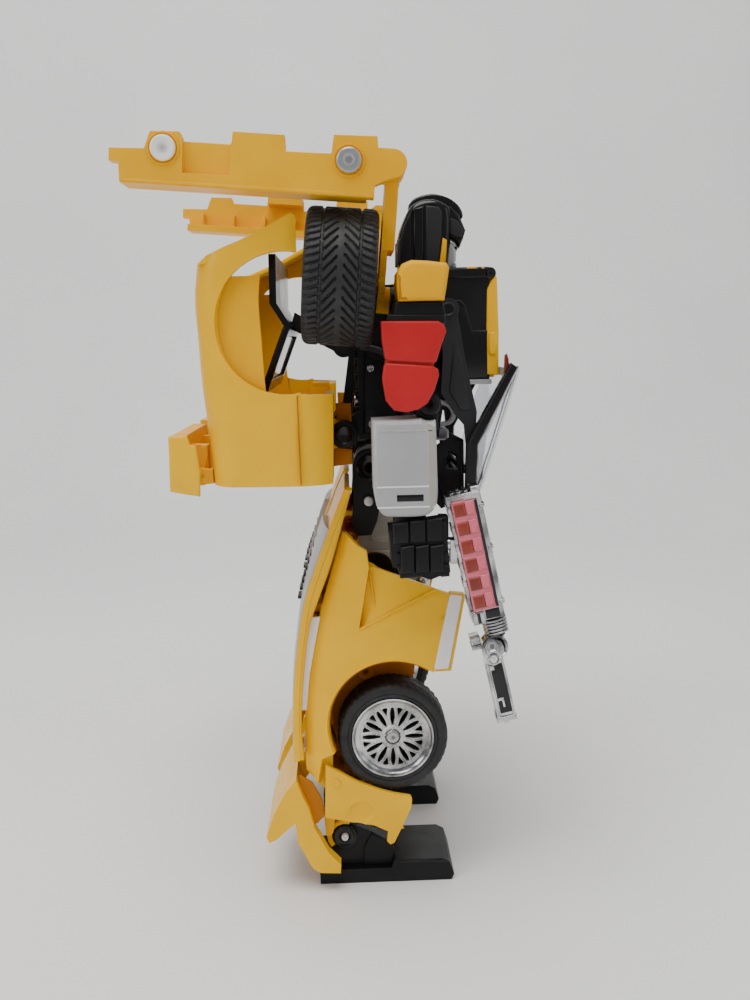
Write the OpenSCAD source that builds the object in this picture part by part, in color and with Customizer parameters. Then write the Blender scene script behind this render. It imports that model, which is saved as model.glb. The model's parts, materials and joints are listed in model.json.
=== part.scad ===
// Transforming robot car, standing in robot form. Millimetres, +Z up, the robot faces +X.
// Side outlines are drawn as [x, z] points and extruded across Y. The near side (right, -Y) is
// drawn once and mirrored for the left. All pieces share one origin under the middle of the model.

/* [Overall] */
// Half of the width over the lower legs
leg_half_w = 46; // [45:0.5:47]
// Wall thickness of the moulded shells
wall = 2.4; // [2:0.2:2.8]
// Radius of the thin hinge pins
pin_r = 1.5; // [1.2:0.1:1.6]
// Radius of the thick shoulder, hip and neck pins
big_pin_r = 2.5; // [2.2:0.1:2.6]
// Radial running clearance of each pin in its bore
run = 0.06; // [0.03:0.01:0.09]

/* [Legs] */
// Height of the hip pins
hip_z = 140; // [139.5:0.5:140.5]
// Height of the knee pins
knee_z = 104; // [103:0.5:105]
// Height of the ankle pins
ankle_z = 15.9; // [15.5:0.1:16.5]
// Outer radius of the leg tyres
tyre_r = 18; // [17:0.5:18.5]
// Width of the leg tyres
tyre_w = 13.5; // [12:0.5:13.5]

/* [Rear wheels] */
// Outer radius of the rear tyres
rear_tyre_r = 20; // [18:0.5:20]
// Width of the rear tyres
rear_tyre_w = 21; // [19:0.5:21]
// Lean of the rear wheel arms and sill panels
lean = 4.6; // [4:0.1:5]

/* [Arms] */
// Height of the shoulder pins
shoulder_z = 193.5; // [193:0.5:194]
// Inner face of each arm, measured from the middle
arm_in_y = 47; // [47:0.5:48]
// Outer face of each arm, measured from the middle
arm_out_y = 65; // [64:0.5:66]

/* [Hidden] */
$fn = 48;

// Hinge axes that run across the model, as [x, z]
hip = [16, hip_z];
knee = [16, knee_z];
ankle = [3.6, ankle_z];
shoulder = [30.7, shoulder_z];
elbow = [32, 161];
nose_hinge = [-7.5, 41];
bumper_hinge = [1.5, 38];
quarter_hinge = [7, 151];
spoiler_hinge = [-36, 140.5];
window_hinge = [7.5, 178];
windshield_hinge = [40.5, 189];

// Leg layout
leg_wheel = [20.2, 52];
wheel_inset = 2.7;
leg_rim_r = 13.6;
shin_out_y = 29;
shin_in_y = 8;
thigh_out_y = 22;
thigh_in_y = 14;
plate_y = leg_half_w - wall;
axle_r = 1.6;
small_pin_r = 1.2;

// Arm layout
arm_mid_y = (arm_in_y + arm_out_y) / 2;
wrist_x = 26;
hand_z = 119;
grip_peg_r = 2;
grip_hole_x = 30;
hand_front_x = 37.5;

// Rear assembly: a frame that leans by the angle lean about its lower hinge
swing_at = [18, 192];
swing_y = 41.5;
swing_pin_r = 1.8;
swing_t = 3.8;
swing_thin_t = 1.9;
rear_axle_y = 50;
rear_axle_w = 5.5;
rear_rim_r = 15.2;
sill_hinge = [1.7, 36.1];
sill_tail = -76;
sill_low = 26.5;
sill_out_y = 66;

// Windshield: an arched sheet that leans forward, from its lower edge
glass_at = [48.6, 131];
glass_lean = 18;
glass_len = 41.5;
glass_half_w = 34;
glass_bulge = 5;
glass_t = 1.2;
glass_arc_r = (pow(glass_half_w, 2) + pow(glass_bulge, 2)) / (2 * glass_bulge);

// The origin lies midway between the tail of the sill panels and the front of the windshield
rear_x = swing_at[0] + sill_tail * cos(lean) + 32 * sin(lean);
front_x = glass_at[0] + glass_len * sin(glass_lean) + (glass_bulge + glass_t) * cos(glass_lean);
origin_x = (rear_x + front_x) / 2;

// Gun: the drum and the grip lean forward from their tops, and the neck is set forward of the grip
gun_y = -57.5;
gun_top = [41.6, 132.9];
gun_lean = 11.4;
drum_len = 34;
grip_top = [47.8, 96.4];
grip_lean = 12;
grip_len = 33;
neck_x = 3;
cells = 6;
cell_pitch = 5.7;

// Moves the drawing frame onto the shared origin
module place() {
    translate([-origin_x, 0, 0]) children();
}

module place_left() {
    translate([-origin_x, 0, 0]) mirror([0, 1, 0]) children();
}

// Each [x, z] outline extruded across the model from y0 up to y1
module slab(y0, y1) {
    for (i = [0 : $children - 1])
        translate([0, y1, 0]) rotate([90, 0, 0]) linear_extrude(y1 - y0) children(i);
}

// A cylinder across the model, centred on the [x, z] point p
module rod(p, y0, y1, r) {
    translate([p[0], y1, p[1]]) rotate([90, 0, 0]) cylinder(r = r, h = y1 - y0);
}

// A round plate on the [x, z] point p, in an outline
module spot(p, r) {
    translate(p) circle(r);
}

// Frame of the rear assembly: x and z lean, y stays across the model
module leaning() {
    translate([swing_at[0], 0, swing_at[1]]) rotate([0, lean, 0]) children();
}

// A cylinder along the leaning x axis, from x0 to x1
module lean_rod(y, z, x0, x1, r) {
    translate([x0, y, z]) rotate([0, 90, 0]) cylinder(r = r, h = x1 - x0);
}

// Points on an arc about c, from angle a0 to a1
function arc(c, r, a0, a1, n = 12) =
    [for (i = [0 : n]) c + r * [cos(a0 + (a1 - a0) * i / n), sin(a0 + (a1 - a0) * i / n)]];

// A strip that lies to the right of a line of points
function strip(line, t) = concat(line, [for (i = [len(line) - 1 : -1 : 0]) line[i] + [t, 0]]);

// ---------- Torso ----------

module torso_outline() {
    polygon([[12, 148], [38, 148], [40, 160], [40, 190], [34, 197.5], [17, 197.5], [12, 190]]);
}

module torso_core() {
    difference() {
        slab(-24, 24) torso_outline();
        slab(-24 + wall, 24 - wall)
            polygon([[15, 151], [41, 151], [41, 189], [33, 193], [18, 193], [15, 188]]);
    }
}

// Two upright bars down the back, with the window pivot between them
module spine_bar(side) {
    y0 = side > 0 ? 4 : -11;
    slab(y0, y0 + 7) {
        polygon([[12.8, 189], [9.6, 178], [6, 154], [5.4, 141.5], [8.8, 141.5], [8.8, 149], [12.8, 149]]);
        spot(window_hinge, 3.6);
    }
}

// Stepped shoulder boss and pin, and the quarter panel boss and pin, on one side
module torso_pins() {
    rod(shoulder, -45.5, -22, 5);
    rod(shoulder, -60, -45, big_pin_r);
    rod(quarter_hinge, -30.4, -10, 4);
    rod(quarter_hinge, -41, -30, 2);
    slab(-26, -12) polygon([[6, 148.4], [13, 149], [13, 158], [6, 153.4]]);
}

// Eye that carries the swing arm, beside the shoulder boss
module swing_eye() {
    leaning() {
        lean_rod(-swing_y, 0, swing_t + 0.3, 8.4, 4);
        translate([swing_t + 0.8, -swing_y + 1, -3.4]) cube([4.4, 18, 6.8]);
    }
}

module swing_eye_bore() {
    leaning() lean_rod(-swing_y, 0, 0, 9, swing_pin_r + run);
}

module torso_frame() {
    color("#17181a") difference() {
        union() {
            torso_core();
            for (s = [-1, 1]) spine_bar(s);
            torso_pins();
            mirror([0, 1, 0]) torso_pins();
            swing_eye();
            mirror([0, 1, 0]) swing_eye();
            translate([35, 0, 192]) cylinder(r = 8, h = 7);
        }
        swing_eye_bore();
        mirror([0, 1, 0]) swing_eye_bore();
        translate([35, 0, 185]) cylinder(r = big_pin_r + run, h = 15);
        rod(window_hinge, -12, 12, 2 + run);
        screw_places() translate([-2, 0, 0]) rotate([0, 90, 0]) cylinder(r = 1.05, h = 6);
    }
}

module screw_places() {
    for (y = [-17, 17], z = [160, 182]) translate([12, y, z]) children();
}

module torso_screws() {
    color("silver") screw_places() rotate([0, 90, 0]) {
        translate([0, 0, -1.4]) cylinder(r = 2.2, h = 1.4);
        cylinder(r = 1, h = 5);
    }
}

// Hip block with the two hip pins, and the open skirt at the front of the waist
module waist() {
    color("#1d1e20") {
        slab(-12, 12)
            polygon([[12.5, 133], [15, 129], [24, 130], [34, 132], [34, 146], [10, 146], [10, 139]]);
        rod(hip, -13.6, 13.6, 5);
        rod(hip, -thigh_out_y, thigh_out_y, big_pin_r);
        skirt();
    }
}

module skirt() {
    difference() {
        slab(-30, 30)
            polygon([[34, 130], [34, 145.7], [41, 145.7], [41, 150], [45.6, 147.5], [45.6, 128],
                [38, 125]]);
        slab(-27.5, 27.5) polygon([[36.5, 131], [36.5, 160], [50, 160], [50, 120], [38, 120]]);
        slab(-31, 31) polygon([[38.9, 141.2], [40.8, 144.6], [43, 143], [43.6, 137.8], [39.7, 138.3]]);
    }
}

// ---------- Chest ----------

module chest_shell() {
    color("#141516") {
        difference() {
            translate([40, -31, 166.5]) cube([14, 62, 35.5]);
            translate([39, -28.6, 169]) cube([12.6, 57.2, 30.6]);
        }
        for (s = [-1, 1]) rod(windshield_hinge, min(28 * s, 34.6 * s), max(28 * s, 34.6 * s), 2);
    }
}

module chest_panel() {
    color("#e3ab07") difference() {
        slab(-30, 30)
            polygon([[54, 167.4], [56.8, 167.4], [57.2, 172], [57.2, 194], [56.6, 198.4], [54, 198.4]]);
        slab(-14, 14) polygon([[56, 176], [60, 174], [60, 196], [56, 192]]);
    }
}

// ---------- Head ----------

module helmet_outline() {
    polygon([[26.8, 204], [43.4, 204], [43.6, 214.5], [43.4, 221.5], [41.6, 224.6], [38.1, 226],
        [34, 225.8],
        [30.6, 224.4], [28.5, 218.5], [26.8, 212.5]]);
}

module head_helmet() {
    color("#1a1b1d") {
        difference() {
            slab(-9, 9) helmet_outline();
            slab(-6, 6) polygon([[40.8, 203], [46, 203], [46, 213.3], [40.8, 213.3]]);
        }
        slab(-3.5, 3.5) polygon([[31, 223], [30.8, 225.4], [33.2, 227.6], [38.7, 228.6], [44.1, 227.4],
            [47.7, 224.7],
            [49.2, 221.7], [48.7, 220.1], [46.4, 222], [43, 223]]);
        slab(-6.4, 6.4) polygon([[42, 222.6], [47.4, 219.8], [49.7, 215.9], [48.9, 213.3], [47.6, 210.1],
            [46.1, 212.2], [43.6, 213.6], [42, 213.6]]);
        translate([35, 0, 199.3]) cylinder(r = 4.6, h = 5);
        translate([35, 0, 187]) cylinder(r = big_pin_r, h = 13);
    }
}

module head_face() {
    color("#c9cbce") slab(-5.8, 5.8)
        polygon([[41, 204.2], [45, 203.6], [46.3, 206], [46.6, 209.5], [45.6, 211.7], [43.2, 213.1],
            [41, 213.1]]);
}

// ---------- Windshield ----------

// Part of the arched sheet, between two heights up its slope and two depths through it
module arched_sheet(w0, w1, t0, t1, half_w) {
    spread = asin(half_w / glass_arc_r);
    middle = [glass_bulge - glass_arc_r, 0];
    translate([glass_at[0], 0, glass_at[1]]) rotate([0, glass_lean, 0])
        translate([0, 0, w0]) linear_extrude(w1 - w0)
            polygon(concat(arc(middle, glass_arc_r + t1, -spread, spread, 24),
                arc(middle, glass_arc_r + t0, spread, -spread, 24)));
}

module windshield_side() {
    slab(-36.5, -glass_half_w)
        polygon([[62, 170.5], [60, 172], [45.8, 147], [45.2, 131], [43.7, 129.5], [48.4, 130], [49, 146]]);
}

module windshield_frame() {
    color("#1b1c1f") {
        windshield_side();
        mirror([0, 1, 0]) windshield_side();
        arched_sheet(glass_len - 3, glass_len - 0.2, -2.4, -0.1, glass_half_w + 1);
        arched_sheet(0.5, 3.5, -2.4, -0.1, glass_half_w + 1);
    }
}

module windshield_glass() {
    color("#aab0c0") arched_sheet(0.5, glass_len, 0, glass_t, glass_half_w - 0.3);
}

module windshield_arm() {
    color("#3b3d40") difference() {
        slab(-glass_half_w, -31.4) {
            polygon([[37.2, 190], [43, 191.6], [45.4, 176.3], [47.2, 166.8], [49.4, 157], [48.9, 146.5],
                [46, 146.5], [45.4, 152.5], [43.3, 154.9], [38, 162.9], [38.8, 175]]);
            spot(windshield_hinge, 3.6);
        }
        rod(windshield_hinge, -35, -31, 2 + run);
    }
}

// ---------- Rear window ----------

module window_line() {
    polygon(strip([[-19, 164.5], [-11, 185], [-15.2, 192], [-15, 207]], 2.2));
}

module window_frame() {
    color("#1b1c1f") {
        difference() {
            slab(-34, 34) window_line();
            slab(-30.5, 30.5) polygon([[-22, 168], [-2, 168], [-2, 182], [-22, 182]]);
        }
        slab(-3.6, 3.6) {
            polygon([[-10.5, 184.5], [-9, 190], [7, 181], [7, 175]]);
            spot(window_hinge, 3);
        }
        rod(window_hinge, -10.8, 10.8, 2);
    }
}

module window_glass() {
    color("#9fb0b6") slab(-30.5, 30.5) polygon(strip([[-17.4, 168.2], [-12.2, 181.8]], 1.2));
}

// ---------- Gun ----------

module gun_frame() {
    translate([gun_top[0], gun_y, gun_top[1]]) rotate([0, -gun_lean, 0]) children();
}

module grip_frame() {
    translate([grip_top[0], gun_y, grip_top[1]]) rotate([0, -grip_lean, 0]) children();
}

module gun_drum() {
    color("#f07a90") gun_frame() difference() {
        translate([-3.9, -5, -drum_len]) cube([7.4, 10, drum_len - 0.5]);
        for (i = [0 : cells - 1]) translate([-3.3, -6, -4.7 - i * cell_pitch]) cube([3.3, 2, 3.8]);
        translate([0, 0, -drum_len - 1]) cylinder(r = 2, h = drum_len + 2);
    }
}

// Rails beside the drum, both end plates, the peg into the hand, the grip and its round boss
module gun_body() {
    color("#c8cacd") {
        gun_frame() {
            translate([3.9, -4, -drum_len - 3.5]) cube([1.2, 8, drum_len + 4]);
            translate([-4.9, -4, -0.4]) cube([10, 8, 2]);
            translate([-4.9, -4, -drum_len - 3.5]) cube([8.9, 8, 3.4]);
            translate([-4.9, -3, -drum_len - 0.5]) cube([0.9, 6, drum_len + 0.5]);
            translate([0, 0, -drum_len - 0.5]) cylinder(r = 1.9, h = drum_len + 0.5);
        }
        translate([grip_hole_x + 0.6, gun_y, hand_z]) rotate([0, 90, 0]) cylinder(r = grip_peg_r, h = 9.2);
        translate([hand_front_x + 0.4, gun_y - 2.5, 113.2]) cube([1.9, 5, 7.2]);
        grip_frame() {
            translate([neck_x, 0, -9]) cylinder(r = 2, h = 10.5);
            translate([-2.7, -3, -grip_len]) cube([5.2, 6, grip_len - 8]);
            translate([-5.4, -2.5, -9.4]) cube([2.8, 5, 4]);
            translate([0.6, -4, -10.2]) rotate([-90, 0, 0]) cylinder(r = 3.2, h = 8);
            translate([-1, -1.5, -grip_len - 2]) cube([2, 3, 2.4]);
        }
    }
}

// Helical spring round the neck of the gun, swept by a closed tube
spring_turns = 5;
spring_r = 3.4;
wire_r = 0.42;
spring_pitch = 1;
steps_per_turn = 16;
function spring_ring(i) = let(a = 360 * i / steps_per_turn)
    [for (k = [0 : 7]) let(b = 45 * k, q = spring_r + wire_r * cos(b))
        [q * cos(a), q * sin(a), spring_pitch * i / steps_per_turn + wire_r * sin(b)]];

module gun_spring() {
    n = spring_turns * steps_per_turn;
    points = [for (i = [0 : n]) each spring_ring(i)];
    sides = [for (i = [0 : n - 1], k = [0 : 7])
        [8 * i + k, 8 * i + (k + 1) % 8, 8 * i + 8 + (k + 1) % 8, 8 * i + 8 + k]];
    ends = [[for (k = [7 : -1 : 0]) k], [for (k = [0 : 7]) 8 * n + k]];
    color("silver") grip_frame() translate([neck_x, 0, -6.4]) polyhedron(points, concat(ends, sides),
        convexity = 8);
}

// ---------- Arms ----------

module shoulder_cap() {
    color("#e8a50c") difference() {
        slab(-arm_out_y - 1, -arm_in_y + 0.5)
            polygon([[23.3, 190.5], [23.1, 198.6], [24.6, 200.9], [27.2, 201.9], [37.4, 200.9],
                [37.9, 199.6], [36.3, 190.5]]);
        rod(shoulder, -60.4, -40, big_pin_r + run);
    }
}

module upper_arm() {
    color("#c93436") {
        slab(-arm_out_y + 2, -arm_in_y - 2) polygon([[22, 184], [36, 184], [35.8, 190.5], [23.6, 190.5]]);
        slab(-arm_out_y, -arm_in_y)
            polygon([[17.9, 185.5], [35.2, 184.6], [36.8, 181.7], [34.2, 173], [19.6, 174]]);
        difference() {
            slab(-arm_out_y + 0.5, -arm_in_y - 0.5)
                polygon([[19.6, 174], [34.2, 173], [35.3, 169], [30.6, 161.2], [24.7, 159],
                    [19.1, 162.3], [18, 167.2]]);
            slab(-60.3, -52) spot(elbow, 4.6);
        }
        for (y = [-63, -52]) slab(y, y + 2.7) spot(elbow, 4);
        rod(elbow, -62, -50, pin_r);
    }
}

module forearm() {
    color("#b5b5b3") difference() {
        union() {
            difference() {
                slab(-arm_out_y, -arm_in_y)
                    polygon([[15.2, 157], [30.5, 157.4], [33.7, 155.3], [34, 132], [31.2, 128.6],
                        [17.2, 128.6],
                        [15.3, 134.4]]);
                slab(-80, -40) spot(elbow, 4.4);
            }
            slab(-60, -52.3) {
                spot(elbow, 3.7);
                polygon([[28.6, 150], [33.6, 152], [35.2, 160], [29.5, 158.5]]);
            }
        }
        rod(elbow, -61, -51, pin_r + run);
        translate([wrist_x, -arm_mid_y, 120]) cylinder(r = 2 + run, h = 13);
        translate([21.7, -arm_out_y - 1, 133.1]) cube([8.2, 2.5, 2.4]);
    }
}

module hand() {
    color("#1a1b1d") difference() {
        union() {
            slab(-arm_mid_y - 7, -arm_mid_y + 7)
                polygon([[19.6, 124.4], [36.3, 126.6], [hand_front_x, 111.4], [31.6, 109.2],
                    [20.3, 113.4]]);
            translate([wrist_x, -arm_mid_y, 118]) cylinder(r = 2, h = 14);
            translate([wrist_x, -arm_mid_y, 118]) cylinder(r = 5, h = 10);
        }
        translate([grip_hole_x, gun_y, hand_z]) rotate([0, 90, 0]) cylinder(r = grip_peg_r + run, h = 10);
        for (z = [113.8, 117.4]) slab(-arm_mid_y - 8, -arm_mid_y - 6.2) translate([22, z]) square([15.6,
            0.6]);
    }
}

// ---------- Legs ----------

module thigh() {
    color("#aaa69b") difference() {
        slab(-thigh_out_y, -thigh_in_y) {
            spot(hip, 6);
            spot(knee, 5);
            polygon([[11, 104], [10.2, 138], [22, 140], [26.6, 120.1], [24.5, 101.3], [17, 99.5]]);
        }
        rod(hip, -30, 0, big_pin_r + run);
        rod(knee, -30, 0, pin_r + run);
    }
}

module hip_link() {
    color("#202020") slab(-28.2, -thigh_out_y) {
        spot(hip - [1, 1], 5.6);
        polygon([[9.6, 138], [9.4, 128], [8.6, 119], [10.5, 116.4], [15, 116.4], [17, 121], [20.4, 138]]);
    }
    color("silver") rod([14.4, 128], -29.4, -28.2, 1.8);
}

// Two side plates joined by cross webs, with the wheel axle and the bosses of the hinges
module shin_plates() {
    for (y = [-shin_out_y, -shin_in_y - wall]) slab(y, y + wall) {
        polygon([[2, 30], [0, 60], [4, 92], [9.5, 104], [22.5, 104], [28, 92], [28, 46], [14, 30]]);
        spot(knee, 6.6);
    }
    slab(-shin_out_y + 1, -shin_in_y - 1) polygon([[2, 30], [0, 60], [4, 92], [6.4, 92], [2.5, 60],
        [4.5, 30]]);
    slab(-shin_out_y + 1, -shin_in_y - 1) polygon([[25.6, 48], [28, 46], [28, 90], [25.6, 90]]);
}

module shin_frame() {
    color("#d68a12") difference() {
        union() {
            shin_plates();
            slab(-32.4, -23.6) {
                spot(ankle, 4.6);
                polygon([[-1, 16], [8.2, 16], [14, 33], [1.5, 33]]);
            }
            slab(-26, -12) {
                spot(nose_hinge, 2.7);
                polygon([[-7.5, 38.3], [3, 36], [3, 46], [-7.5, 43.7]]);
            }
            rod(bumper_hinge, -plate_y + 0.3, -20, 2.4);
            rod(bumper_hinge, -leg_half_w + 0.3, -20, small_pin_r);
            rod(leg_wheel, -30.6, -shin_out_y + 1, 4);
            rod(leg_wheel, -leg_half_w + wheel_inset + 1, -shin_out_y + 1, axle_r);
        }
        rod(knee, -40, 0, pin_r);
        rod(ankle, -40, 0, pin_r);
        rod(nose_hinge, -40, 0, small_pin_r + run);
    }
}

// Steel pins pressed into the shin frame at the knee and the ankle
module leg_pins() {
    color("silver") {
        rod(knee, -shin_out_y - 0.4, -shin_in_y + 0.4, pin_r);
        rod(ankle, -37.4, -18.6, pin_r);
    }
}

module leg_shell_outline() {
    polygon(concat(
        [[5.4, 120.5], [3.9, 114.9], [-2, 95.5], [-4.6, 83], [-8.1, 66], [-8.3, 44], [-4.6, 37.5],
            [-3.2, 46]],
        arc([20.5, 57.5], 21.5, 205, 50, 20),
        [[33.6, 75.6], [39, 100.4], [15, 109.2], [13, 115]]));
}

module leg_shell() {
    color("#f0b400") {
        slab(-leg_half_w, -plate_y) leg_shell_outline();
        for (p = [[8, 100], [5, 84]]) rod(p, -plate_y - 1, -shin_out_y, 2.5);
    }
}

module side_trim() {
    color("#eeeeea") slab(-leg_half_w, -leg_half_w + 4.5) polygon([[39, 100.4], [43.1, 99.9],
        [38.4, 75.8], [33.6, 75.6]]);
}

// Half of the bonnet, an upright curved panel on the back of the leg
module hood_half() {
    back = [[6.4, 134.8], [3, 126], [-3.2, 109.9], [-7.3, 97.5], [-10.6, 79], [-12, 62], [-12.2, 45.5]];
    front = [[-9.3, 45.5], [-9.3, 60], [-8.8, 70], [-5.4, 83], [-2.9, 95], [0, 105], [4.4, 120.5],
        [9, 134.8]];
    color("#f4bc08") {
        slab(-leg_half_w + 0.4, -5) polygon(concat(back, front));
        slab(-34, -14) polygon(strip(back, -2));
        for (z = [62, 80]) slab(-27, -12)
            polygon([[-10.5, z], [-10.5, z + 3], [(z - 57) / 8, z + 3], [(z - 60) / 8, z]]);
    }
}

module tyre(r, inner_r, w, round_r) {
    rotate_extrude($fn = 96) polygon(concat(
        [[inner_r, -w / 2], [inner_r, w / 2]],
        arc([r - round_r, w / 2 - round_r], round_r, 90, 0, 5),
        arc([r - round_r, round_r - w / 2], round_r, 0, -90, 5)));
}

// Barrel, hub and spokes, with the dished face towards +Z
module rim(r, w, bore_r, spokes) {
    difference() {
        union() {
            rotate_extrude($fn = 96)
                polygon([[r - 1.4, -w / 2], [r, -w / 2], [r, w / 2], [r - 1.8, w / 2],
                    [r - 1.4, w / 2 - 2]]);
            translate([0, 0, -w / 2 + 1]) cylinder(r = 4, h = w - 2.2);
            translate([0, 0, w / 2 - 3.4]) difference() {
                for (i = [1 : spokes]) rotate(360 * i / spokes)
                    translate([3, -0.6, 0]) cube([r - 4, 1.2, 1.6]);
                cylinder(r = 3.5, h = 9, center = true);
            }
        }
        cylinder(r = bore_r, h = 2 * w, center = true);
    }
}

module at_leg_wheel() {
    translate([leg_wheel[0], -leg_half_w + wheel_inset + tyre_w / 2, leg_wheel[1]]) rotate([90, 0, 0])
        children();
}

module leg_tyre() {
    color("#1c1c1d") at_leg_wheel() tyre(tyre_r, leg_rim_r, tyre_w, 2.6);
}

module leg_rim() {
    color("#c8ccd2") at_leg_wheel() rim(leg_rim_r, tyre_w - 1.4, axle_r + run, 15);
}

module foot() {
    color("#151516") difference() {
        union() {
            slab(-40, -16) polygon([[-5, 0], [39, 0], [40, 2], [38.6, 6.4], [36, 7.8], [20, 7.8],
                [19, 5], [-5, 5]]);
            for (y = [-37, -23]) slab(y, y + 4) {
                spot(ankle, 5);
                polygon([[-1.4, 4], [21, 4], [19, 13], [12, 17], [4, 20.9], [-1.4, 16]]);
            }
            slab(-33.5, -22.5) polygon([[12, 4], [21, 4], [19, 13], [13.5, 15]]);
        }
        rod(ankle, -50, 0, pin_r + run);
    }
}

module bumper() {
    color("#e2b214") difference() {
        slab(-leg_half_w, -plate_y)
            polygon([[-1.9, 44.2], [3, 41.4], [9, 38], [18, 34.6], [25.4, 32.8], [25.6, 29],
                [19.8, 16.4], [17.6, 17],
                [18, 20.6], [13.4, 23], [-2.6, 26.4]]);
        rod(bumper_hinge, -50, -30, small_pin_r + run);
    }
}

// Front lip of the car, folded down behind the heel, and its thin side fin
module nose() {
    color("#f2b90a") {
        slab(-leg_half_w, -8)
            polygon([[-11.6, 40], [-15, 36], [-18.9, 29], [-21.9, 20.5], [-21, 18.4], [-18.6, 19.6],
                [-12, 25.4], [-9.6, 34]]);
        slab(-leg_half_w, -41.5)
            polygon([[-12.6, 28], [-11.6, 18], [-7.1, 9], [-4.6, 7.4], [2, 7], [2.2, 10], [-1.7, 14.3],
                [-6.2, 23.3],
                [-7.8, 30], [-9.6, 34]]);
        for (y = [-30, -11.7]) slab(y, y + 3.7) {
            spot(nose_hinge, 2.6);
            polygon([[-11.6, 39.6], [-10, 32], [-5.4, 39.4], [-7.5, 43.6]]);
        }
        rod(nose_hinge, -28, -10, small_pin_r);
    }
}

// ---------- Rear quarters ----------

quarter_back = [[-32.2, 138], [-33, 151], [-34.6, 167], [-35.2, 181], [-35.8, 192.4], [-34.4, 202.9]];
quarter_top = [[-34.4, 202.9], [-31, 204.8], [-18, 210.1], [-6.5, 216.1]];
arch_at = [-9, 185.2];
arch_r = 20.4;

module quarter_side() {
    difference() {
        polygon(concat(quarter_back, quarter_top, [[-5.2, 215.4], [-5.2, 164.6], [4.1, 164.4],
            [3.4, 137.5]]));
        spot(arch_at, arch_r);
        translate([arch_at[0], arch_at[1] - arch_r]) square([30, 2 * arch_r]);
    }
}

module quarter_shell() {
    color("#f2b705") difference() {
        union() {
            slab(-60, -60 + wall) quarter_side();
            slab(-59, -8) polygon(strip(quarter_back, 2.6));
            slab(-59, -44) polygon(concat(quarter_top,
                [for (i = [3 : -1 : 0]) quarter_top[i] - [0, wall]]));
            slab(-59, -34) polygon([[-32, 137.8], [3.4, 137.5], [3.4, 140], [-32, 140.3]]);
            slab(-59, -31) polygon([[1.6, 137.6], [3.4, 137.5], [4.1, 164.4], [1.6, 164.4]]);
            slab(-41, -31) spot(quarter_hinge, 4.4);
            for (y = [-53, -16]) slab(y, y + 2.7) {
                spot(spoiler_hinge, 2.6);
                polygon([[-36, 137.9], [-31.6, 138.2], [-31.8, 143], [-36, 143.1]]);
            }
        }
        rod(quarter_hinge, -50, -20, 2 + run);
        rod(spoiler_hinge, -60, 0, small_pin_r + run);
    }
}

module spoiler() {
    color("#f0b302") {
        slab(-58, -8) polygon([[-44.8, 137.2], [-44.5, 153.2], [-40.2, 153], [-39.2, 147.7], [-39, 136]]);
        for (y = [-50, -20]) slab(y, y + 3.7) {
            spot(spoiler_hinge, 2.4);
            polygon([[-39.6, 150], [-39.6, 138.4], [-36, 138.2], [-34.4, 147], [-36.4, 150]]);
        }
        rod(spoiler_hinge, -52.6, -46, small_pin_r);
        rod(spoiler_hinge, -19, -13.6, small_pin_r);
    }
}

// ---------- Rear wheels, sill panels and their arms ----------

module at_rear_wheel() {
    leaning() translate([-rear_tyre_w / 2 - 0.9, -rear_axle_y, rear_axle_w]) rotate([0, -90, 0]) children();
}

module rear_tyre() {
    color("#1b1b1c") at_rear_wheel() tyre(rear_tyre_r, rear_rim_r, rear_tyre_w, 2.6);
}

module rear_rim() {
    color("#c8ccd2") at_rear_wheel() rim(rear_rim_r, rear_tyre_w - 1.4, swing_pin_r + run, 15);
}

// Arm from the shoulder up to the sill panel, thin where the shoulder cap turns past it
module swing_arm() {
    color("#edae08") leaning() difference() {
        union() {
            lean_plate(swing_thin_t) spot([-rear_axle_y, rear_axle_w], 4);
            lean_plate(swing_thin_t) polygon([[-45.4, 0], [-38, 2], [-38, 14], [-58, 15], [-54, 6]]);
            lean_plate(swing_t) polygon([[-38, 13.5], [-49.5, 31], [-49.5, 40], [-60.6, 40],
                [-60.6, 27], [-57.6, 13.5]]);
            lean_rod(-swing_y, 0, 0, swing_t, 4);
            lean_rod(-swing_y, 0, swing_t - 0.5, 8, swing_pin_r);
            lean_rod(-rear_axle_y, rear_axle_w, -rear_tyre_w + 1.5, 0.5, swing_pin_r);
            translate([sill_hinge[0], -49.5, sill_hinge[1]]) rotate([90, 0, 0]) cylinder(r = 3.9, h = 11.1);
        }
        translate([sill_hinge[0], -48, sill_hinge[1]]) rotate([90, 0, 0]) cylinder(r = swing_pin_r + run,
            h = 14);
    }
}

// A [y, z] outline extruded along the leaning x axis
module lean_plate(t) {
    rotate([90, 0, 90]) linear_extrude(t) children();
}

module sill_outline() {
    polygon([[-73, 26.5], [-73.4, 32], [sill_tail, 32], [sill_tail, 35.4], [-66.5, 35.8], [-65, 40.4],
        [-57, 40.8],
        [-56, 38.6], [-42.8, 38.6], [-42.5, 41.7], [-28.4, 41.7], [-28, 37.4], [-15.4, 37.6], [-15, 42.6],
        [-3, 43], [-2.6, 40], [1.7, 40], [1.7, 32.2], [-3, 30], [-3, 26.5]]);
}

module sill_panel() {
    color("#f2b806") leaning() {
        difference() {
            slab(-sill_out_y, -sill_out_y + 5) {
                sill_outline();
                spot(sill_hinge, 3.9);
            }
            slab(-sill_out_y - 1, -sill_out_y + 2) polygon([[-56, 30], [-43, 30], [-43, 39], [-56, 39]]);
        }
        slab(-sill_out_y + 4, -54) polygon([[-73, sill_low], [-5, sill_low], [-5, 29], [-73, 29]]);
        slab(-sill_out_y + 4, -54) polygon([[-42, 38.6], [-28.6, 38.6], [-28.6, 41], [-42, 41]]);
        translate([sill_hinge[0], -49.6, sill_hinge[1]]) rotate([90, 0, 0]) cylinder(r = swing_pin_r, h =
            14);
        for (x = [-61.3, -10.5]) rod([x, 36.1], -sill_out_y - 0.8, -sill_out_y, 3.6);
    }
}

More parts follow.
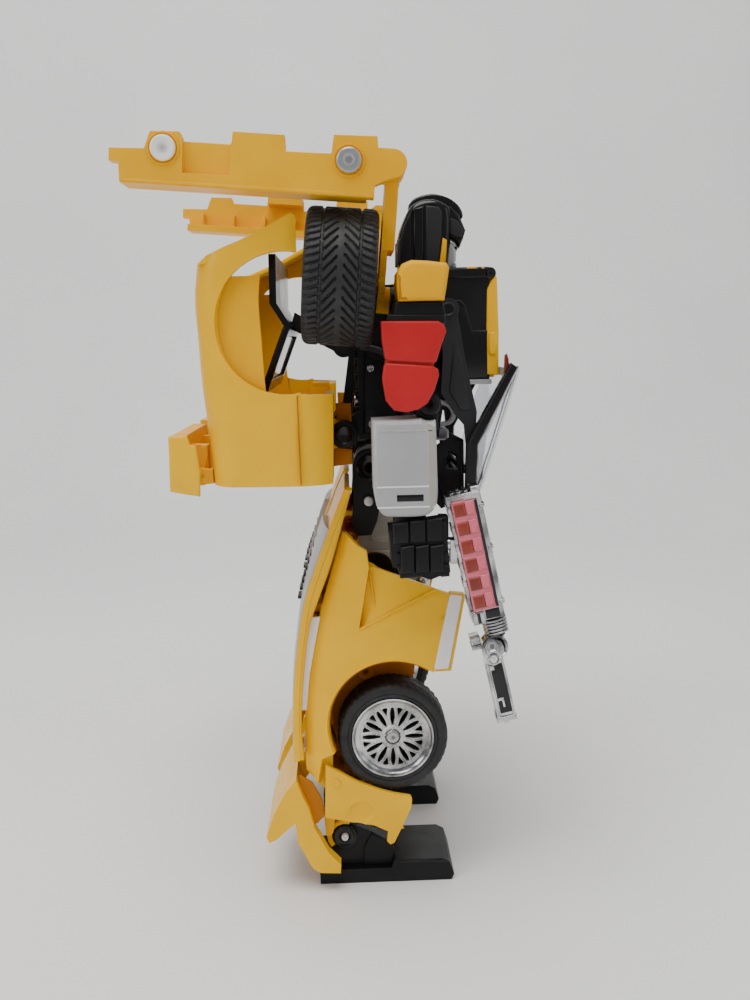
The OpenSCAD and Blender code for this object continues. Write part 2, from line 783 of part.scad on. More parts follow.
place() torso_frame();
place() waist();
place() torso_screws();
place() chest_shell();
place() chest_panel();
place() head_helmet();
place() head_face();
place() windshield_frame();
place() windshield_glass();
place() windshield_arm();  // windshield_arm_r
place_left() windshield_arm();  // windshield_arm_l
place() window_frame();
place() window_glass();
place() gun_body();
place() gun_drum();
place() gun_spring();
place() shoulder_cap();  // shoulder_cap_r
place_left() shoulder_cap();  // shoulder_cap_l
place() upper_arm();  // upper_arm_r
place_left() upper_arm();  // upper_arm_l
place() forearm();  // forearm_r
place_left() forearm();  // forearm_l
place() hand();  // hand_r
place_left() hand();  // hand_l
place() thigh();  // thigh_r
place_left() thigh();  // thigh_l
place() hip_link();  // hip_link_r
place_left() hip_link();  // hip_link_l
place() shin_frame();  // shin_frame_r
place_left() shin_frame();  // shin_frame_l
place() leg_shell();  // leg_shell_r
place_left() leg_shell();  // leg_shell_l
place() side_trim();  // side_trim_r
place_left() side_trim();  // side_trim_l
place() hood_half();  // hood_half_r
place_left() hood_half();  // hood_half_l
place() leg_tyre();  // leg_tyre_r
place_left() leg_tyre();  // leg_tyre_l
place() leg_rim();  // leg_rim_r
place_left() leg_rim();  // leg_rim_l
place() foot();  // foot_r
place_left() foot();  // foot_l
place() leg_pins();  // leg_pins_r
place_left() leg_pins();  // leg_pins_l
place() bumper();  // bumper_r
place_left() bumper();  // bumper_l
place() nose();  // nose_r
place_left() nose();  // nose_l
place() quarter_shell();  // quarter_shell_r
place_left() quarter_shell();  // quarter_shell_l
place() spoiler();  // spoiler_r
place_left() spoiler();  // spoiler_l
place() rear_tyre();  // rear_tyre_r
place_left() rear_tyre();  // rear_tyre_l
place() rear_rim();  // rear_rim_r
place_left() rear_rim();  // rear_rim_l
place() sill_panel();  // sill_panel_r
place_left() sill_panel();  // sill_panel_l
place() swing_arm();  // swing_arm_r
place_left() swing_arm();  // swing_arm_l
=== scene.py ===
import json
import math

import bmesh
import bpy
from mathutils import Matrix, Vector
from mathutils.geometry import delaunay_2d_cdt


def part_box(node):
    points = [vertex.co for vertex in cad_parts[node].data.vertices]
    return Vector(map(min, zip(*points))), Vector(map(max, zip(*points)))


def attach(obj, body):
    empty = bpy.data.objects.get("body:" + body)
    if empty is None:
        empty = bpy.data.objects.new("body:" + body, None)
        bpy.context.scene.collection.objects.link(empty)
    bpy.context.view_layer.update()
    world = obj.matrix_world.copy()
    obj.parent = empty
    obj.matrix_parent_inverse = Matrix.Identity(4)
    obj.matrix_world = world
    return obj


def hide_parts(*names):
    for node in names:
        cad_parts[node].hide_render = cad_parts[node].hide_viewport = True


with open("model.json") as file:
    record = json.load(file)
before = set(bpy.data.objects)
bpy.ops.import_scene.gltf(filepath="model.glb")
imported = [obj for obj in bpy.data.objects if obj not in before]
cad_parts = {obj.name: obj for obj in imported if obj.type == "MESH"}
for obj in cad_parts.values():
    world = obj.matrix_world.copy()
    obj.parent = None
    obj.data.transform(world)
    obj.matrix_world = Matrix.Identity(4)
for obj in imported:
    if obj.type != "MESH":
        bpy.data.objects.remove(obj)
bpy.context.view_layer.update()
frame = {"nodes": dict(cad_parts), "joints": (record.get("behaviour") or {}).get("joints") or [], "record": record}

# The model is a toy robot that folds into a car. Outlines below are [x, z] points in millimetres
# of the CAD drawing, whose leg wheel axle is at x = 20.2. A side is -1 (right) or 1 (left), and y
# is counted outwards from the middle, so that one outline serves both sides.
MM = 0.001
LEG_AXLE_X = 20.2
SIDES = {"r": -1, "l": 1}
REAR_TYRE_W = 21
SAME_SPOT = 0.002  # vertices nearer than this many millimetres are merged
CREASE = 32  # degrees; edges sharper than this are kept crisp, or rounded by a bevel
ROUND_SHARE = 0.48  # the most that an edge radius takes of a plate's thickness
ROW_PITCH = 0.87  # height of a row of even triangles, in steps
EDGE_GAP = 0.55  # how far inner vertices of a curved panel stay off its edges, in steps

RECORD = frame["record"]
NODE_SLOT = {s["node"]: s["material_slot"] for s in RECORD["subparts"]}
BODIES = RECORD["behaviour"]["bodies"]
NODE_BODY = {n: body for body, members in BODIES.items() for n in members}


def node_box(node):
    """Lowest and highest corner of a CAD node, in millimetres."""
    low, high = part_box(node)
    return low / MM, high / MM


axle_low, axle_high = node_box("leg_rim_r")
DRAWING_X = (axle_low.x + axle_high.x) / 2 - LEG_AXLE_X


def place(x, y, z):
    """A point of the drawing, in metres of the shared frame."""
    return Vector(((x + DRAWING_X) * MM, y * MM, z * MM))


# ---------- Materials ----------


class Shader:
    """A node tree with a Principled shader, and short ways to add to it."""

    def __init__(self, name):
        self.material = bpy.data.materials.new(name)
        self.material.use_nodes = True
        self.tree = self.material.node_tree
        self.bsdf = self.tree.nodes["Principled BSDF"]
        self.where = self.add("ShaderNodeTexCoord").outputs["Object"]

    def add(self, kind, inputs=(), **settings):
        node = self.tree.nodes.new(kind)
        for key, value in settings.items():
            setattr(node, key, value)
        for key, value in dict(inputs).items():
            self.feed(node.inputs[key], value)
        return node

    def feed(self, socket, value):
        if isinstance(value, bpy.types.NodeSocket):
            self.tree.links.new(value, socket)
        else:
            socket.default_value = value

    def set(self, **sockets):
        for key, value in sockets.items():
            self.feed(self.bsdf.inputs[key.replace("_", " ")], value)

    def noise(self, scale, detail=3, stretch=None):
        where = self.where
        if stretch:
            where = self.add("ShaderNodeMapping", {"Vector": where, "Scale": stretch}).outputs[0]
        inputs = {"Vector": where, "Scale": scale, "Detail": detail}
        return self.add("ShaderNodeTexNoise", inputs).outputs["Fac"]

    def span(self, value, low, high, to_low=0.0, to_high=1.0):
        inputs = {"Value": value, "From Min": low, "From Max": high, "To Min": to_low, "To Max": to_high}
        return self.add("ShaderNodeMapRange", inputs).outputs[0]

    def blend(self, fac, first, second):
        """Mixes two colours, each an [r, g, b] or a socket."""
        node = self.add("ShaderNodeMix", data_type="RGBA")
        self.feed(node.inputs[0], fac)
        for index, value in ((6, first), (7, second)):
            is_socket = isinstance(value, bpy.types.NodeSocket)
            self.feed(node.inputs[index], value if is_socket else (*value, 1))
        return node.outputs[2]

    def math(self, operation, first, second):
        node = self.add("ShaderNodeMath", operation=operation)
        self.feed(node.inputs[0], first)
        self.feed(node.inputs[1], second)
        return node.outputs[0]

    def bump(self, height, strength, distance):
        inputs = {"Height": height, "Strength": strength, "Distance": distance}
        return self.add("ShaderNodeBump", inputs).outputs[0]


def plastic(name, base, second, rough, edge=None, dust=0.0, grain=0.35, grain_scale=900, **sockets):
    """Moulded plastic: mottled colour, uneven gloss, fine moulding grain, painted edge highlights and dust on top.
    """
    s = Shader(name)
    shade = s.blend(s.span(s.noise(45, 4), 0.35, 0.65), base, second)
    if edge:
        # lighter colour on sharp convex edges, broken up by noise: a painted edge highlight
        point = s.add("ShaderNodeNewGeometry").outputs["Pointiness"]
        edge_highlight = s.math("MULTIPLY", s.span(point, 0.53, 0.6), s.span(s.noise(260), 0.3, 0.6, 0.35, 1.0))
        shade = s.blend(edge_highlight, shade, edge)
    specks = s.span(s.noise(1400, 5), 0.66, 0.72)
    if dust:
        up = s.add("ShaderNodeSeparateXYZ", {"Vector": s.add("ShaderNodeNewGeometry").outputs["Normal"]})
        lies = s.math("MULTIPLY", s.span(up.outputs[2], 0.3, 1.0, 0.12, 1.0), dust)
        amount = s.math("MULTIPLY", lies, s.span(s.noise(130, 6), 0.38, 0.72))
        shade = s.blend(s.math("ADD", amount, s.math("MULTIPLY", specks, dust * 0.5)),
            shade, (0.42, 0.41, 0.39))
    scratches = s.span(s.noise(240, 2, (1.0, 1.0, 9.0)), 0.62, 0.74)
    smudges = s.span(s.noise(70, 3), 0.3, 0.7, rough * 0.82, rough * 1.25)
    s.set(Base_Color=shade, Roughness=s.math("ADD", smudges, s.math("MULTIPLY", scratches, 0.08)))
    s.set(Normal=s.bump(s.noise(grain_scale, 2), grain, 0.00004))
    s.set(**sockets)
    return s.material


def plated(name, base, rough, ripple=0.25, dark=0.5):
    """Vacuum-plated plastic: bright metal with ripples, and darker patches that are partly rubbed plating and
    partly painted dark reflections.
    """
    s = Shader(name)
    s.set(Metallic=1.0)
    # darker patches: rubbed plating, and painted dark reflections of the surroundings
    rubbed_and_reflection_mask = s.span(s.noise(150, 5), 0.4, 0.68)
    rubbed_and_reflection_tone = [c * dark for c in base]
    s.set(Base_Color=s.blend(rubbed_and_reflection_mask, base, rubbed_and_reflection_tone))
    s.set(Roughness=s.span(s.noise(200, 3), 0.3, 0.75, rough, rough * 2.4))
    s.set(Normal=s.bump(s.noise(420, 3), ripple, 0.00012))
    return s.material


def rubber(name):
    """Tyre rubber: dull black with dry grey patches and a fine grain."""
    s = Shader(name)
    dry = s.span(s.noise(90, 6), 0.4, 0.8, 0.0, 0.45)
    s.set(Base_Color=s.blend(dry, (0.007, 0.007, 0.0075), (0.028, 0.028, 0.028)))
    s.set(Roughness=s.span(s.noise(300, 3), 0.3, 0.7, 0.5, 0.72))
    s.set(Normal=s.bump(s.noise(1600, 3), 0.5, 0.00005))
    return s.material


def clear(name, tint, rough=0.04, through=1.0, **sockets):
    """Clear plastic with a tint, fine haze and scratches."""
    s = Shader(name)
    s.set(Transmission_Weight=through, IOR=1.49)
    s.set(Base_Color=s.blend(s.span(s.noise(40, 3), 0.3, 0.7), tint, [c * 0.93 for c in tint]))
    scratches = s.span(s.noise(300, 2, (1.0, 9.0, 1.0)), 0.6, 0.8, 0.0, 0.12)
    s.set(Roughness=s.math("ADD", scratches, rough))
    s.set(Normal=s.bump(s.noise(60, 2), 0.06, 0.0002))
    s.set(**sockets)
    return s.material


def make_looks():
    return {
        "yellow_shell": plastic("yellow_gloss", (0.9, 0.5, 0.0), (0.84, 0.44, 0.0),
            0.3, grain=0.06, grain_scale=500, dust=0.005, Specular_IOR_Level=0.15, Coat_Weight=0.08,
            Coat_Roughness=0.08, Coat_IOR=1.4),
        "yellow_plastic": plastic("yellow_moulded", (0.84, 0.43, 0.0), (0.76, 0.36, 0.0),
            0.4, dust=0.005, Specular_IOR_Level=0.15),
        "orange_plastic": plastic("orange_inner", (0.5, 0.18, 0.001), (0.4, 0.13, 0.001),
            0.46, dust=0.02, Specular_IOR_Level=0.2),
        "black_plastic": plastic("black_satin", (0.0028, 0.0028, 0.0031), (0.005, 0.005, 0.0056),
            0.4, edge=(0.008, 0.008, 0.009), dust=0.012, Specular_IOR_Level=0.24),
        "black_gloss": plastic("black_gloss", (0.0022, 0.0022, 0.0026), (0.004, 0.004, 0.0046),
            0.2, dust=0.01, grain=0.1, Specular_IOR_Level=0.3, Coat_Weight=0.12, Coat_Roughness=0.06),
        "dark_grey": plastic("dark_grey_satin", (0.022, 0.0225, 0.025), (0.016, 0.0165, 0.018),
            0.42, edge=(0.022, 0.022, 0.025), dust=0.015, Specular_IOR_Level=0.28),
        "red_plastic": plastic("red_satin", (0.48, 0.016, 0.018), (0.42, 0.012, 0.014),
            0.38, dust=0.01, Specular_IOR_Level=0.25),
        "light_grey": plastic("grey_satin", (0.38, 0.38, 0.38), (0.33, 0.33, 0.335),
            0.4, edge=(0.5, 0.5, 0.5), dust=0.03),
        "beige_grey": plastic("warm_grey", (0.36, 0.34, 0.3), (0.3, 0.285, 0.25),
            0.4, edge=(0.56, 0.54, 0.49), dust=0.04),
        "white_plastic": plastic("white_gloss", (0.85, 0.84, 0.81), (0.78, 0.77, 0.74),
            0.3, dust=0.03, Coat_Weight=0.3),
        "silver_paint": plastic("silver_paint", (0.44, 0.44, 0.45), (0.36, 0.36, 0.37),
            0.34, grain=0.5, grain_scale=2200, Metallic=0.7),
        "steel": plated("steel", (0.55, 0.55, 0.56), 0.2, 0.15),
        "chrome": plated("chrome_plating", (0.62, 0.62, 0.63), 0.12, 0.35, 0.25),
        "wheel_silver": plated("wheel_silver", (0.6, 0.6, 0.59), 0.28, 0.3, 0.5),
        "tyre": rubber("tyre_rubber"),
        "clear_glass": clear("clear_window", (0.8, 0.83, 0.9)),
        "pink_clear": clear("pink_clear", (0.98, 0.2, 0.27), 0.25, through=0.25, Subsurface_Weight=0.4,
            Subsurface_Radius=(0.004, 0.0012, 0.0012), Subsurface_Scale=1.0),
        "rust_red": plastic("rust_red", (0.27, 0.022, 0.008), (0.15, 0.01, 0.005),
            0.3, edge=(0.4, 0.09, 0.05)),
    }


LOOKS = make_looks()
SHELL = "yellow_shell"
YELLOW = "yellow_plastic"
ORANGE = "orange_plastic"
BLACK = "black_plastic"
GLOSS = "black_gloss"
GREY = "dark_grey"
CHROME = "chrome"
STEEL = "steel"
SILVER = "silver_paint"
RED = "red_plastic"
WARM_GREY = "beige_grey"
LIGHT_GREY = "light_grey"
WHITE = "white_plastic"
RUST = "rust_red"
PINK = "pink_clear"
WHEEL_SILVER = "wheel_silver"


# ---------- Mesh helpers ----------


def dress(obj, body, look, replaces=()):
    """Gives a piece its material and its body, and hides the CAD nodes that it stands for."""
    obj.data.materials.clear()
    obj.data.materials.append(LOOKS[look])
    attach(obj, body)
    if replaces:
        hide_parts(*replaces)
    return obj


def put(name, mesh, body, look, replaces=()):
    obj = bpy.data.objects.new(name, mesh)
    bpy.context.scene.collection.objects.link(obj)
    return dress(obj, body, look, replaces)


def shade(bm, angle=CREASE):
    """Smooth faces, with edges sharper than the angle kept crisp."""
    limit = math.radians(angle)
    for face in bm.faces:
        face.smooth = True
    for edge in bm.edges:
        if len(edge.link_faces) == 2:
            edge.smooth = edge.calc_face_angle(0) < limit


def mesh_of(bm, name):
    """The finished mesh of a bmesh, which is freed."""
    mesh = bpy.data.meshes.new(name)
    bm.to_mesh(mesh)
    bm.free()
    return mesh


def mesh_from(bm, name, angle=CREASE):
    bmesh.ops.recalc_face_normals(bm, faces=bm.faces)
    shade(bm, angle)
    return mesh_of(bm, name)


def bevel(obj, width, segments=2, angle=CREASE):
    modifier = obj.modifiers.new("round_edges", "BEVEL")
    modifier.width = width * MM
    modifier.segments = segments
    modifier.limit_method = "ANGLE"
    modifier.angle_limit = math.radians(angle)
    modifier.harden_normals = True
    return obj


def rounded(node, width=0.35, segments=2, look=None):
    """A CAD node's own shape with rounded edges, in place of the node."""
    bm = bmesh.new()
    bm.from_mesh(frame["nodes"][node].data)
    bmesh.ops.remove_doubles(bm, verts=bm.verts, dist=SAME_SPOT * MM)
    bmesh.ops.dissolve_limit(bm, angle_limit=math.radians(0.6), verts=bm.verts, edges=bm.edges)
    mesh = mesh_from(bm, node)
    for layer in ("custom_normal", "sharp_face"):
        if layer in mesh.attributes:
            mesh.attributes.remove(mesh.attributes[layer])
    obj = put(node + "_moulding", mesh, NODE_BODY[node], look or NODE_SLOT[node], [node])
    return bevel(obj, width, segments)


def drawn_shape(curve):
    """The solid that a curve draws, as a bmesh; the curve is used up."""
    drawn = bpy.data.objects.new(curve.name, curve)
    mesh = bpy.data.meshes.new_from_object(drawn)
    bm = bmesh.new()
    bm.from_mesh(mesh)
    bpy.data.objects.remove(drawn)
    bpy.data.curves.remove(curve)
    bpy.data.meshes.remove(mesh)
    return bm


def shape(name, outlines, h0, h1, matrix, body, look, round_r=0.35, holes=(), replaces=(), steps=2):
    """Flat outlines with holes in the matrix's xy plane, from h0 to h1 along z, with rounded edges."""
    curve = bpy.data.curves.new(name, "CURVE")
    curve.dimensions = "2D"
    curve.fill_mode = "BOTH"
    for loop in [*outlines, *holes]:
        spline = curve.splines.new("POLY")
        spline.points.add(len(loop) - 1)
        for spot, (x, y) in zip(spline.points, loop):
            spot.co = (x, y, 0, 1)
        spline.use_cyclic_u = True
    round_r = min(round_r, (h1 - h0) * ROUND_SHARE)
    curve.extrude = (h1 - h0) / 2 - round_r
    curve.bevel_depth = round_r
    curve.bevel_resolution = steps
    curve.offset = -round_r
    bm = drawn_shape(curve)
    for v in bm.verts:
        v.co = place(*(matrix @ Vector((v.co.x, v.co.y, v.co.z + (h0 + h1) / 2))))
    bmesh.ops.remove_doubles(bm, verts=bm.verts, dist=2 * SAME_SPOT * MM)
    return put(name, mesh_from(bm, name, 40), body, look, replaces)


def side_view(side):
    """Matrix that takes [x, z, distance outwards] of one side into the drawing."""
    return Matrix(((1, 0, 0, 0), (0, 0, side, 0), (0, 1, 0, 0), (0, 0, 0, 1)))


def plate(name, outline, y0, y1, side, body, look, round_r=0.35, holes=(), turn=None, replaces=(), steps=2):
    """An [x, z] outline with holes, from y0 to y1 outwards from the middle, with rounded edges."""
    matrix = (turn or Matrix()) @ side_view(side)
    return shape(name, [outline], y0, y1, matrix, body, look, round_r, holes, replaces, steps)


def block_outline(x0, x1, z0, z1):
    return [(x0, z0), (x1, z0), (x1, z1), (x0, z1)]


def box(name, x0, x1, y0, y1, z0, z1, side, body, look, round_r=0.3):
    """A rounded block."""
    return plate(name, block_outline(x0, x1, z0, z1), y0, y1, side, body, look, round_r)


def frame_at(origin, across, axis):
    """Matrix whose z follows axis and whose x follows across, with its origin in drawing millimetres."""
    z = Vector(axis).normalized()
    x = Vector(across)
    x = (x - z * x.dot(z)).normalized()
    y = z.cross(x)
    matrix = Matrix((x, y, z)).transposed().to_4x4()
    matrix.translation = Vector(origin)
    return matrix


def lathe(name, profile, matrix, body, look, steps=64, replaces=()):
    """[r, h] points turned round the matrix's z axis."""
    bm = bmesh.new()
    rings = []
    for r, h in profile:
        ring = []
        for i in range(steps):
            a = 2 * math.pi * i / steps
            ring.append(bm.verts.new(place(*(matrix @ Vector((r * math.cos(a), r * math.sin(a), h))))))
        rings.append(ring)
    for first, second in zip(rings, rings[1:] + rings[:1]):
        for i in range(steps):
            k = (i + 1) % steps
            bm.faces.new((first[i], first[k], second[k], second[i]))
    bmesh.ops.remove_doubles(bm, verts=bm.verts, dist=SAME_SPOT * MM)
    return put(name, mesh_from(bm, name), body, look, replaces)


def disc(name, r, h0, h1, matrix, body, look, edge=0.25, steps=40, dish=0.0):
    """A round button or pin along the matrix's z axis, with a rounded rim and a dished top."""
    e = min(edge, r / 2)
    profile = [(0.001, h0), (r, h0), (r, h1 - e), (r - e * 0.3, h1 - e * 0.3), (r - e, h1)]
    profile += [(r * 0.6, h1 - dish), (0.001, h1 - dish)]
    return lathe(name, profile, matrix, body, look, steps)


def tube(name, points, r, body, look, sides=8):
    """A round bar along drawing points."""
    curve = bpy.data.curves.new(name, "CURVE")
    curve.dimensions = "3D"
    curve.bevel_depth = r * MM
    curve.bevel_resolution = max(1, sides // 4)
    curve.use_fill_caps = True
    spline = curve.splines.new("POLY")
    spline.points.add(len(points) - 1)
    for spot, p in zip(spline.points, points):
        spot.co = (*place(*p), 1)
    bm = drawn_shape(curve)
    return put(name, mesh_from(bm, name, 50), body, look)


def arc(cx, cz, r, a0, a1, n=12):
    """Points on an arc, with angles in degrees from a0 to a1."""
    turns = [math.radians(a0 + (a1 - a0) * i / n) for i in range(n + 1)]
    return [(cx + r * math.cos(a), cz + r * math.sin(a)) for a in turns]


def smooth_line(points, per_leg=6):
    """A soft curve through points (Catmull-Rom)."""
    ends = [points[0], *points, points[-1]]
    found = []
    for a, b, c, d in zip(ends, ends[1:], ends[2:], ends[3:]):
        for i in range(per_leg):
            t = i / per_leg
            found.append(tuple(0.5 * (2 * q + (r - p) * t + (2 * p - 5 * q + 4 * r - s) * t * t
                + (3 * q - p - 3 * r + s) * t ** 3) for p, q, r, s in zip(a, b, c, d)))
    return found + [tuple(points[-1])]


def inside(spot, outline):
    x, z = spot
    found = False
    for (x0, z0), (x1, z1) in zip(outline, outline[1:] + outline[:1]):
        if (z0 > z) != (z1 > z) and x < (x1 - x0) * (z - z0) / (z1 - z0) + x0:
            found = not found
    return found


def turn(a, b, spot):
    """Above zero when the spot lies to the left of the way from a to b."""
    return (b[0] - a[0]) * (spot[1] - a[1]) - (b[1] - a[1]) * (spot[0] - a[0])


def distance(spot, a, b):
    spot, a, b = Vector(spot), Vector(a), Vector(b)
    along = b - a
    t = max(0.0, min(1.0, (spot - a).dot(along) / max(along.length_squared, 1e-9)))
    return (spot - a - along * t).length


def thicken(obj, thick, edge):
    """Gives a sheet its thickness, away from its outer face, and rounds its edges."""
    solid = obj.modifiers.new("thickness", "SOLIDIFY")
    solid.thickness = thick * MM
    solid.offset = -1
    return bevel(obj, edge, 2, 50)


def panel(name, outline, lift, thick, body, look, lines=(), step=1.7, edge=0.3, replaces=()):
    """A curved sheet: an outline in its own flat (u, v) plane, meshed along its edges and crease lines,
    set in space by lift(u, v) and given its thickness inwards."""
    verts, edges = [], []

    def chain(points, closed):
        pairs = list(zip(points, points[1:] + points[:1])) if closed else list(zip(points, points[1:]))
        fine = []
        for (u0, v0), (u1, v1) in pairs:
            n = max(1, round(math.hypot(u1 - u0, v1 - v0) / step))
            fine += [(u0 + (u1 - u0) * i / n, v0 + (v1 - v0) * i / n) for i in range(n)]
        if not closed:
            fine.append(tuple(points[-1]))
        start = len(verts)
        verts.extend(fine)
        count = len(fine)
        edges.extend((start + i, start + (i + 1) % count) for i in range(count if closed else count - 1))
        return pairs

    limits = chain(outline, True)
    for line in lines:
        limits += chain(line, False)
    us, vs = zip(*outline)
    gap = step * EDGE_GAP
    row, v = 0, min(vs)
    while v < max(vs):
        u = min(us) + (step / 2 if row % 2 else 0)
        while u < max(us):
            spot = (u, v)
            if inside(spot, outline) and all(distance(spot, a, b) > gap for a, b in limits):
                verts.append(spot)
            u += step
        row, v = row + 1, v + step * ROW_PITCH
    flat = delaunay_2d_cdt([Vector(p) for p in verts], edges, [], 0, 1e-4)
    bm = bmesh.new()
    made = [bm.verts.new(place(*lift(p.x, p.y))) for p in flat[0]]
    for face in flat[2]:
        middle = sum((flat[0][i] for i in face), Vector((0, 0))) / len(face)
        if inside(middle, outline):
            bm.faces.new([made[i] for i in face])
    bmesh.ops.delete(bm, geom=[v for v in bm.verts if not v.link_faces], context="VERTS")
    # the sheet's outer face is the one that lift() describes, so its normals are turned away from the middle
    bm.normal_update()
    middle = sum((v.co for v in bm.verts), Vector()) / len(bm.verts)
    outwards = Vector((0, 1 if middle.y > 0 else -1, 0))
    if sum(f.normal.dot(outwards) * f.calc_area() for f in bm.faces) < 0:
        bmesh.ops.reverse_faces(bm, faces=bm.faces)
    shade(bm, 30)
    obj = put(name, mesh_of(bm, name), body, look, replaces)
    return thicken(obj, thick, edge)


def sheet(name, rows, cols, spot, thick, body, look, edge=0.3, replaces=(), flip=False):
    """A curved sheet from a grid: spot(i, j) with i and j from 0 to 1 gives the drawing point."""
    bm = bmesh.new()
    grid = []
    for i in range(rows + 1):
        grid.append([bm.verts.new(place(*spot(i / rows, j / cols))) for j in range(cols + 1)])
    for i in range(rows):
        for j in range(cols):
            quad = (grid[i][j], grid[i][j + 1], grid[i + 1][j + 1], grid[i + 1][j])
            bm.faces.new(quad[::-1] if flip else quad)
    shade(bm, 30)
    obj = put(name, mesh_of(bm, name), body, look, replaces)
    return thicken(obj, thick, edge)


def outwards(x, y, z, side):
    """Frame whose z axis points away from the middle, for round parts on a side face."""
    return frame_at((x, side * y, z), (1, 0, 0), (0, side, 0))


def upwards(x, y, z):
    return frame_at((x, y, z), (1, 0, 0), (0, 0, 1))


def forwards(x, y, z):
    return frame_at((x, y, z), (0, 1, 0), (1, 0, 0))


def pivot(joint):
    """A joint's place in the drawing: x, distance from the middle, z."""
    found = next(j for j in frame["joints"] if j["name"] == joint)
    x, y, z = (value / MM for value in found["pos_m"])
    return x - DRAWING_X, abs(y), z


class Half:
    """Makes the pieces of one side of the robot that ride on one body. Names get the side's letter."""

    def __init__(self, key, body):
        self.key = key
        self.side = SIDES[key]
        self.body = body if body in BODIES else f"{body}_{key}"

    def name(self, name, n=None):
        return f"{name}_{self.key}" if n is None else f"{name}_{self.key}_{n}"

    def plate(self, name, outline, y0, y1, look, round_r=0.35, n=None, node=None, **more):
        replaces = [self.name(node)] if node else ()
        name = self.name(name, n)
        return plate(name, outline, y0, y1, self.side, self.body, look, round_r, replaces=replaces,
            **more)

    def box(self, name, x0, x1, y0, y1, z0, z1, look, round_r=0.3, n=None):
        return box(self.name(name, n), x0, x1, y0, y1, z0, z1, self.side, self.body, look, round_r)

    def disc(self, name, r, y0, y1, x, z, look, edge=0.25, steps=40, n=None, dish=0.0):
        matrix = outwards(x, 0, z, self.side)
        return disc(self.name(name, n), r, y0, y1, matrix, self.body, look, edge, steps, dish)

    def tube(self, name, points, r, look, sides=8):
        mirrored = [(x, self.side * y, z) for x, y, z in points]
        return tube(self.name(name), mirrored, r, self.body, look, sides)

    def reach(self, node):
        """How near to the middle a CAD node comes, and how far out it goes."""
        low, high = node_box(self.name(node))
        return sorted((abs(low.y), abs(high.y)))

    def pin(self, joint):
        x, _, z = pivot(self.name(joint))
        return x, z


def both_sides(*makers):
    for key in SIDES:
        for make in makers:
            make(key)


# The rear wheels, their arms and the sill panels lean a little: their x and z axes are turned by this frame
lean_axis = next(j for j in frame["joints"] if j["name"] == "rear_wheel_spin_r")["axis"]
lean = math.atan2(-lean_axis[2], lean_axis[0])
arm_x, _, arm_z = pivot("wheel_arm_swing_r")
LEANING = Matrix.Translation((arm_x, 0, arm_z)) @ Matrix.Rotation(lean, 4, "Y")


# ---------- Wheels ----------


def tyre(name, node, matrix, r, inner_r, width, pitches, depth, body):
    """A tyre with directional tread: slanted shoulder grooves, long slanting cuts with hooked ends, and a
    plain middle rib."""
    per_pitch = 10
    around = pitches * per_pitch
    groove = r * depth
    shoulder = r * 0.11
    half = width / 2
    side_wall = [(inner_r + 0.1, -half + 1.2), (inner_r, -half + 0.3), (inner_r + 0.7, -half),
        (inner_r + 1.1, -half + 0.35), (r - shoulder - 0.9, -half + 0.1), (r - shoulder - 0.5, -half),
        (r - shoulder, -half + 0.12)]
    corner = [(r - shoulder * (1 - math.sin(a)), -half + shoulder * (1 - math.cos(a)))
        for a in (math.radians(d) for d in (18, 36, 54, 72))]
    flat_half = half - shoulder
    tread = [(r, -flat_half + 2 * flat_half * i / 44) for i in range(45)]
    profile = side_wall + corner + tread + [(p[0], -p[1]) for p in reversed(corner)]
    profile += [(p[0], -p[1]) for p in reversed(side_wall)]
    bm = bmesh.new()
    rings = []
    for i in range(around):
        a = 2 * math.pi * i / around
        turn = i / per_pitch
        ring = []
        for radius, h in profile:
            t = abs(h) / half
            shift = 0.25 if h > 0 else 0
            cut = 0
            if radius > r - shoulder * 0.6:
                if 0.56 < t < 0.93 and (turn + 1.6 * t) % 1 < 0.38:
                    cut = groove
                if 0.1 < t < 0.5 and (turn * 0.75 + 4 * t + shift) % 1 < 0.3:
                    cut = groove
                if 0.5 < t < 0.56:
                    cut = groove
            spot = Vector(((radius - cut) * math.cos(a), (radius - cut) * math.sin(a), h))
            ring.append(bm.verts.new(place(*(matrix @ spot))))
        rings.append(ring)
    for i in range(around):
        first, second = rings[i], rings[(i + 1) % around]
        for k in range(len(profile)):
            m = (k + 1) % len(profile)
            bm.faces.new((first[k], first[m], second[m], second[k]))
    return put(name, mesh_from(bm, name, 50), body, "tyre", [node])


def polar(r, degrees):
    a = math.radians(degrees)
    return (r * math.cos(a), r * math.sin(a))


